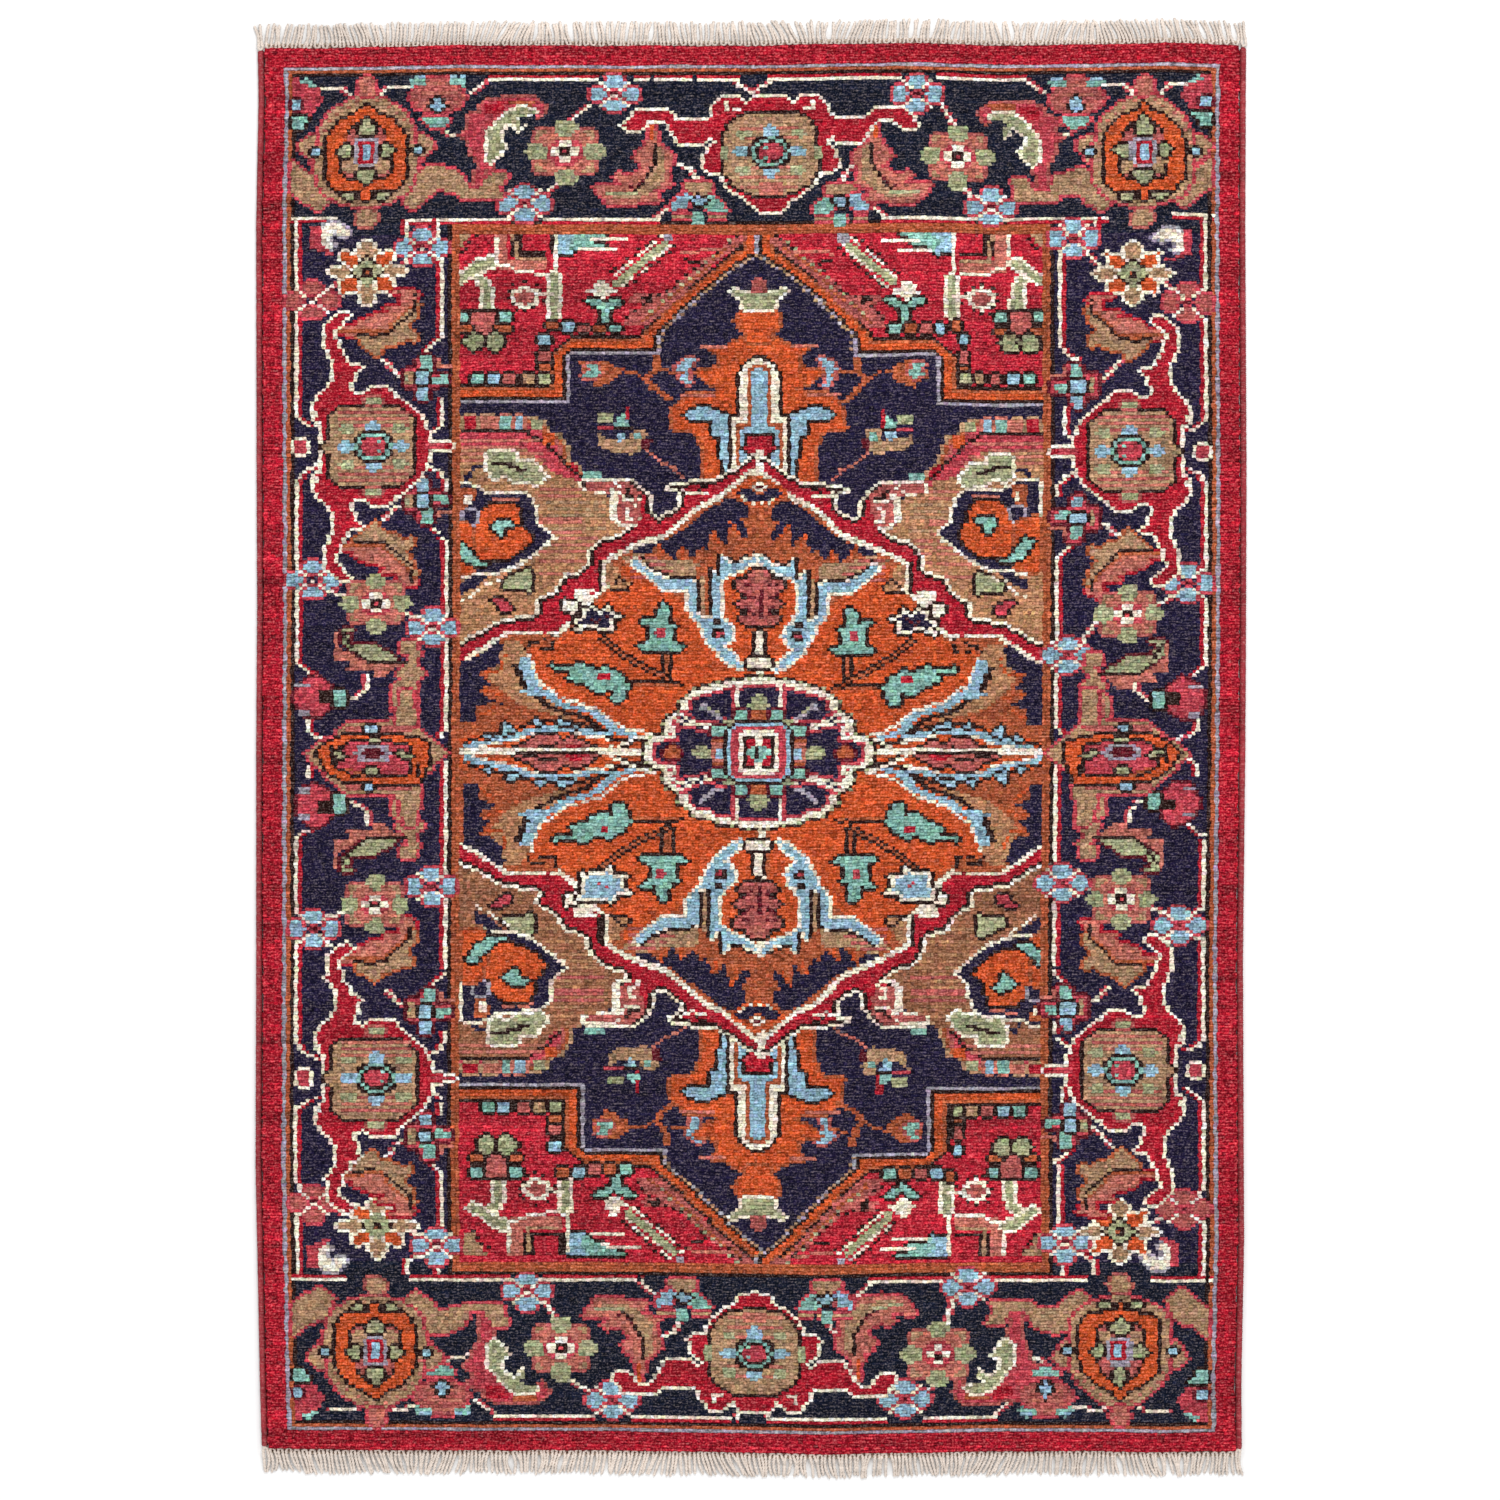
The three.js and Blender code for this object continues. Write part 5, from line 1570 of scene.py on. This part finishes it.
def pliedYarns(name, paths, radius, waist, twist):
    # paths are lists of (x, y, z, thickness); twist is the run of yarn for one turn of the ply
    section = pliedProfile(name + "_section", radius, waist)
    data = bpy.data.curves.new(name, "CURVE")
    data.dimensions = "3D"
    data.twist_mode = "MINIMUM"
    data.bevel_mode = "OBJECT"
    data.bevel_object = section
    data.use_fill_caps = True
    for path in paths:
        spline = data.splines.new("POLY")
        spline.points.add(len(path) - 1)
        run = chance.uniform(0, twist)
        for i, (x, y, z, thick) in enumerate(path):
            if i:
                run += math.dist((x, y, z), path[i - 1][:3])
            spline.points[i].co = (x, y, z, 1)
            spline.points[i].radius = thick
            spline.points[i].tilt = 2 * math.pi * run / twist
    curve = bpy.data.objects.new(name + "_path", data)
    bpy.context.collection.objects.link(curve)
    bpy.context.view_layer.update()
    shape = curve.evaluated_get(bpy.context.evaluated_depsgraph_get())
    mesh = bpy.data.meshes.new_from_object(shape)
    mesh.name = name
    piece = bpy.data.objects.new(name, mesh)
    bpy.context.collection.objects.link(piece)
    for old in (curve, section):
        bpy.data.objects.remove(old)
    mesh.shade_smooth()
    return piece


def wander(x, seed, reach):
    return sum(math.sin(x * f / reach + seed * (i + 1) * 1.7) for i, f in enumerate((1, 2.3, 4.1))) / 3


fringeMake = {
    "loops": 122,            # each loop of warp makes two strands
    "reach": 0.01,           # how far the end warps spread past the pile's corners
    "radius": 0.0022,
    "waist": 0.2,
    "twist": 0.0085,
    "steps": 20,             # points down one strand
    "lean": 0.5,
    "splay": 0.0012,
    "height": 0.0024,        # middle of a strand over the floor
    "rise": 0.0016,          # how far a strand may arch over it
    "ownLean": 0.055,
    "bend": 0.0012,
    "shortest": 0.86,        # share of the length that every strand has
    "inset": 0.0028,         # where a loop starts, in from the last knots
    "loopBack": 0.0034,      # how far its closed end reaches back
}
strandNap = 0.0032       # height over the floor where cotton lies in no shadow


def shadeNearFloor(piece):
    # painted shadow: cotton lower than strandNap over the floor is painted darker towards the floor
    setNapShading(piece.data, np.clip(pointsOf(piece.data)[:, 2] / strandNap, 0, 1))


def fringePiece(end, side):
    node = "fringe_" + end
    low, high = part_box(node)
    kilimLow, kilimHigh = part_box("kilim_end_" + end)
    stitchLow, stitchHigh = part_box("locking_stitch_" + end)
    width = high.x - low.x + 2 * fringeMake["reach"]
    pitch = width / fringeMake["loops"]
    start = kilimLow.y if side > 0 else kilimHigh.y
    length = high.y - start if side > 0 else start - low.y
    # share of the length that lies on the band and the stitch
    over = (stitchHigh.y - start if side > 0 else start - stitchLow.y) / length
    bed = max(kilimHigh.z, stitchHigh.z)
    inset = fringeMake["inset"]
    paths = []
    for loop in range(fringeMake["loops"]):
        middle = low.x - fringeMake["reach"] + pitch * (loop + 0.5 + chance.uniform(-0.1, 0.1))
        lean = fringeMake["lean"] * wander(middle, 3 * side, 0.09) + chance.normal() * fringeMake["ownLean"]
        arch = pitch * chance.uniform(0.24, 0.3)
        base = chance.uniform(-0.0012, 0.0016)
        path = []
        for leg in (-1, 1):
            reach = length * chance.uniform(fringeMake["shortest"], 1.0)
            splay = leg * arch + chance.normal() * fringeMake["splay"]
            bend = chance.normal() * fringeMake["bend"]
            rise = chance.uniform(0, fringeMake["rise"])
            strandPath = []
            for i in range(fringeMake["steps"]):
                t = 1 - i / (fringeMake["steps"] - 1)
                out = inset + (reach - inset) * t
                x = middle + leg * arch * (1 - t) + splay * t + lean * reach * t ** 1.3
                x += bend * math.sin(3.4 * t)
                onto = min(1, max(0, 2 - t / over))
                z = fringeMake["height"] + rise * math.sin(math.pi * min(1, t * 1.1)) * 0.8 + bed * onto
                thick = 1 - 0.3 * max(0, (t - 0.9) / 0.1)
                strandPath.append((x, start + side * (out + base * (1 - t)), z, thick))
            path += strandPath if leg < 0 else strandPath[::-1]
            if leg < 0:
                for i in range(1, 6):
                    turn = math.pi * i / 6
                    x = middle - arch * math.cos(turn)
                    y = start + side * (inset + base - fringeMake["loopBack"] * math.sin(turn))
                    path.append((x, y, fringeMake["height"] + bed + 0.0006 * math.sin(turn), 1))
        paths.append(path)
    piece = pliedYarns("warp_" + node, paths, fringeMake["radius"], fringeMake["waist"],
                       fringeMake["twist"])
    layDown(piece)
    shadeNearFloor(piece)
    dress(piece, node, cottons["warp"])


stitchMake = {"steps": 900, "sway": 0.0004, "height": 0.0017, "radius": 0.0019, "waist": 0.2,
              "twist": 0.0092}


def stitchPiece(end, side):
    node = "locking_stitch_" + end
    low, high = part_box(node)
    y = (low.y + high.y) / 2
    path = []
    for i in range(stitchMake["steps"] + 1):
        x = low.x + (high.x - low.x) * i / stitchMake["steps"]
        path.append((x, y + stitchMake["sway"] * wander(x, 5 * side, 0.03), stitchMake["height"], 1))
    piece = pliedYarns("twined_" + node, [path], stitchMake["radius"], stitchMake["waist"],
                       stitchMake["twist"])
    layDown(piece)
    shadeNearFloor(piece)
    dress(piece, node, cottons["twine"])


kilimMake = {"rows": 6, "crimp": 0.0003}


def kilimPiece(end):
    # plain weave: wefts over and under the warps
    node = "kilim_end_" + end
    low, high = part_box(node)
    bm = bmesh.new()
    bmesh.ops.create_grid(bm, x_segments=2 * loom["columns"], y_segments=kilimMake["rows"], size=0.5)
    bmesh.ops.scale(bm, verts=bm.verts, vec=(high.x - low.x, high.y - low.y, 1))
    bmesh.ops.translate(bm, verts=bm.verts, vec=(0, (low.y + high.y) / 2, high.z - kilimMake["crimp"]))
    bm.verts.ensure_lookup_table()
    across = 2 * loom["columns"] + 1
    for i, vert in enumerate(bm.verts):
        vert.co.z += kilimMake["crimp"] * (1 if (i % across + i // across) % 2 else -1)
    rim = [edge for edge in bm.edges if edge.is_boundary]
    walls = bmesh.ops.extrude_edge_only(bm, edges=rim)["geom"]
    for vert in (g for g in walls if isinstance(g, bmesh.types.BMVert)):
        vert.co.z = low.z
    bmesh.ops.edgeloop_fill(bm, edges=[edge for edge in bm.edges if edge.is_boundary])
    bmesh.ops.recalc_face_normals(bm, faces=bm.faces)
    piece = toObject(bm, "woven_" + node)
    # painted shade: the nap share follows the height, so the weave is darker where the wefts dip and down
    # its sides
    setNapShading(piece.data, [v.co.z / high.z for v in piece.data.vertices])
    layDown(piece)
    dress(piece, node, cottons["kilim"])


def rolledCord(name, node, sides, rings, outline):
    # a sheet rolled up round the line of the cord; outline gives the reach across and up
    low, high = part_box(node)
    bm = bmesh.new()
    bmesh.ops.create_grid(bm, x_segments=sides, y_segments=rings, size=0.5)
    for vert in bm.verts:
        turn = 2 * math.pi * vert.co.x
        t = vert.co.y + 0.5
        across, up = outline(turn, t)
        vert.co.x = (low.x + high.x) / 2 + across * math.cos(turn)
        vert.co.y = low.y + (high.y - low.y) * t
        vert.co.z = (low.z + high.z) / 2 + up * math.sin(turn)
    bmesh.ops.remove_doubles(bm, verts=bm.verts, dist=0.00002)
    ends = [edge for edge in bm.edges if edge.is_boundary]
    bmesh.ops.edgeloop_fill(bm, edges=ends)
    bmesh.ops.recalc_face_normals(bm, faces=bm.faces)
    piece = toObject(bm, name)
    piece.data.shade_smooth()
    # painted shade: the nap share runs from 1 on top of the cord to 0 underneath, so its sides and
    # underside are painted darker
    middle = (low.z + high.z) / 2
    setNapShading(piece.data, [0.5 + 0.5 * (v.co.z - middle) / (high.z - middle) for v in piece.data.vertices])
    layDown(piece)
    return piece


selvedgeMake = {
    "wraps": 640,            # turns of wool round one side
    "ringsPerWrap": 3,
    "sides": 14,
    "ridge": 0.00035,        # half the height of a turn over the groove beside it
    "uneven": 0.0002,
    "tapering": 0.004,
    "play": 0.0004,          # room that the ridges need at each side
    "coreSides": 12,
    "coreRings": 240,
}


def selvedgePieces(side):
    node = "selvedge_overcast_" + side
    low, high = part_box(node)
    width, height = (high.x - low.x) / 2 - selvedgeMake["play"], (high.z - low.z) / 2
    unevenness = chance.uniform(-1, 1, selvedgeMake["wraps"] + 2)

    def wrapped(turn, t):
        phase = t * selvedgeMake["wraps"] + turn / (2 * math.pi)
        ridge = selvedgeMake["ridge"] * (math.cos(2 * math.pi * phase) - 1)
        ridge += selvedgeMake["uneven"] * unevenness[int(t * selvedgeMake["wraps"])]
        edge = min(t, 1 - t) * (high.y - low.y) / selvedgeMake["tapering"]
        close = math.sqrt(min(1, 0.1 + edge))
        return (width + ridge) * close, (height + ridge) * close

    rings = selvedgeMake["wraps"] * selvedgeMake["ringsPerWrap"]
    piece = rolledCord("wrapped_" + node, node, selvedgeMake["sides"], rings, wrapped)
    dress(piece, node, cottons["overcast"])
    core = "selvedge_core_" + side
    coreLow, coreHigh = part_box(core)
    half = ((coreHigh.x - coreLow.x) / 2, (coreHigh.z - coreLow.z) / 2)

    def stranded(turn, t):
        bulge = 0.9 + 0.1 * math.cos(3 * turn + 260 * t)
        end = 0.985 if 0.003 < t < 0.997 else 0.4
        return half[0] * bulge * end, half[1] * bulge * end

    piece = rolledCord("corded_" + core, core, selvedgeMake["coreSides"], selvedgeMake["coreRings"],
                       stranded)
    dress(piece, core, cottons["core"])


for end, side in (("top", 1), ("bottom", -1)):
    kilimPiece(end)
    stitchPiece(end, side)
    fringePiece(end, side)
for side in ("left", "right"):
    selvedgePieces(side)
print("stage: ends and sides")

for piece in rugPieces + [foundation]:
    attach(piece, "root")
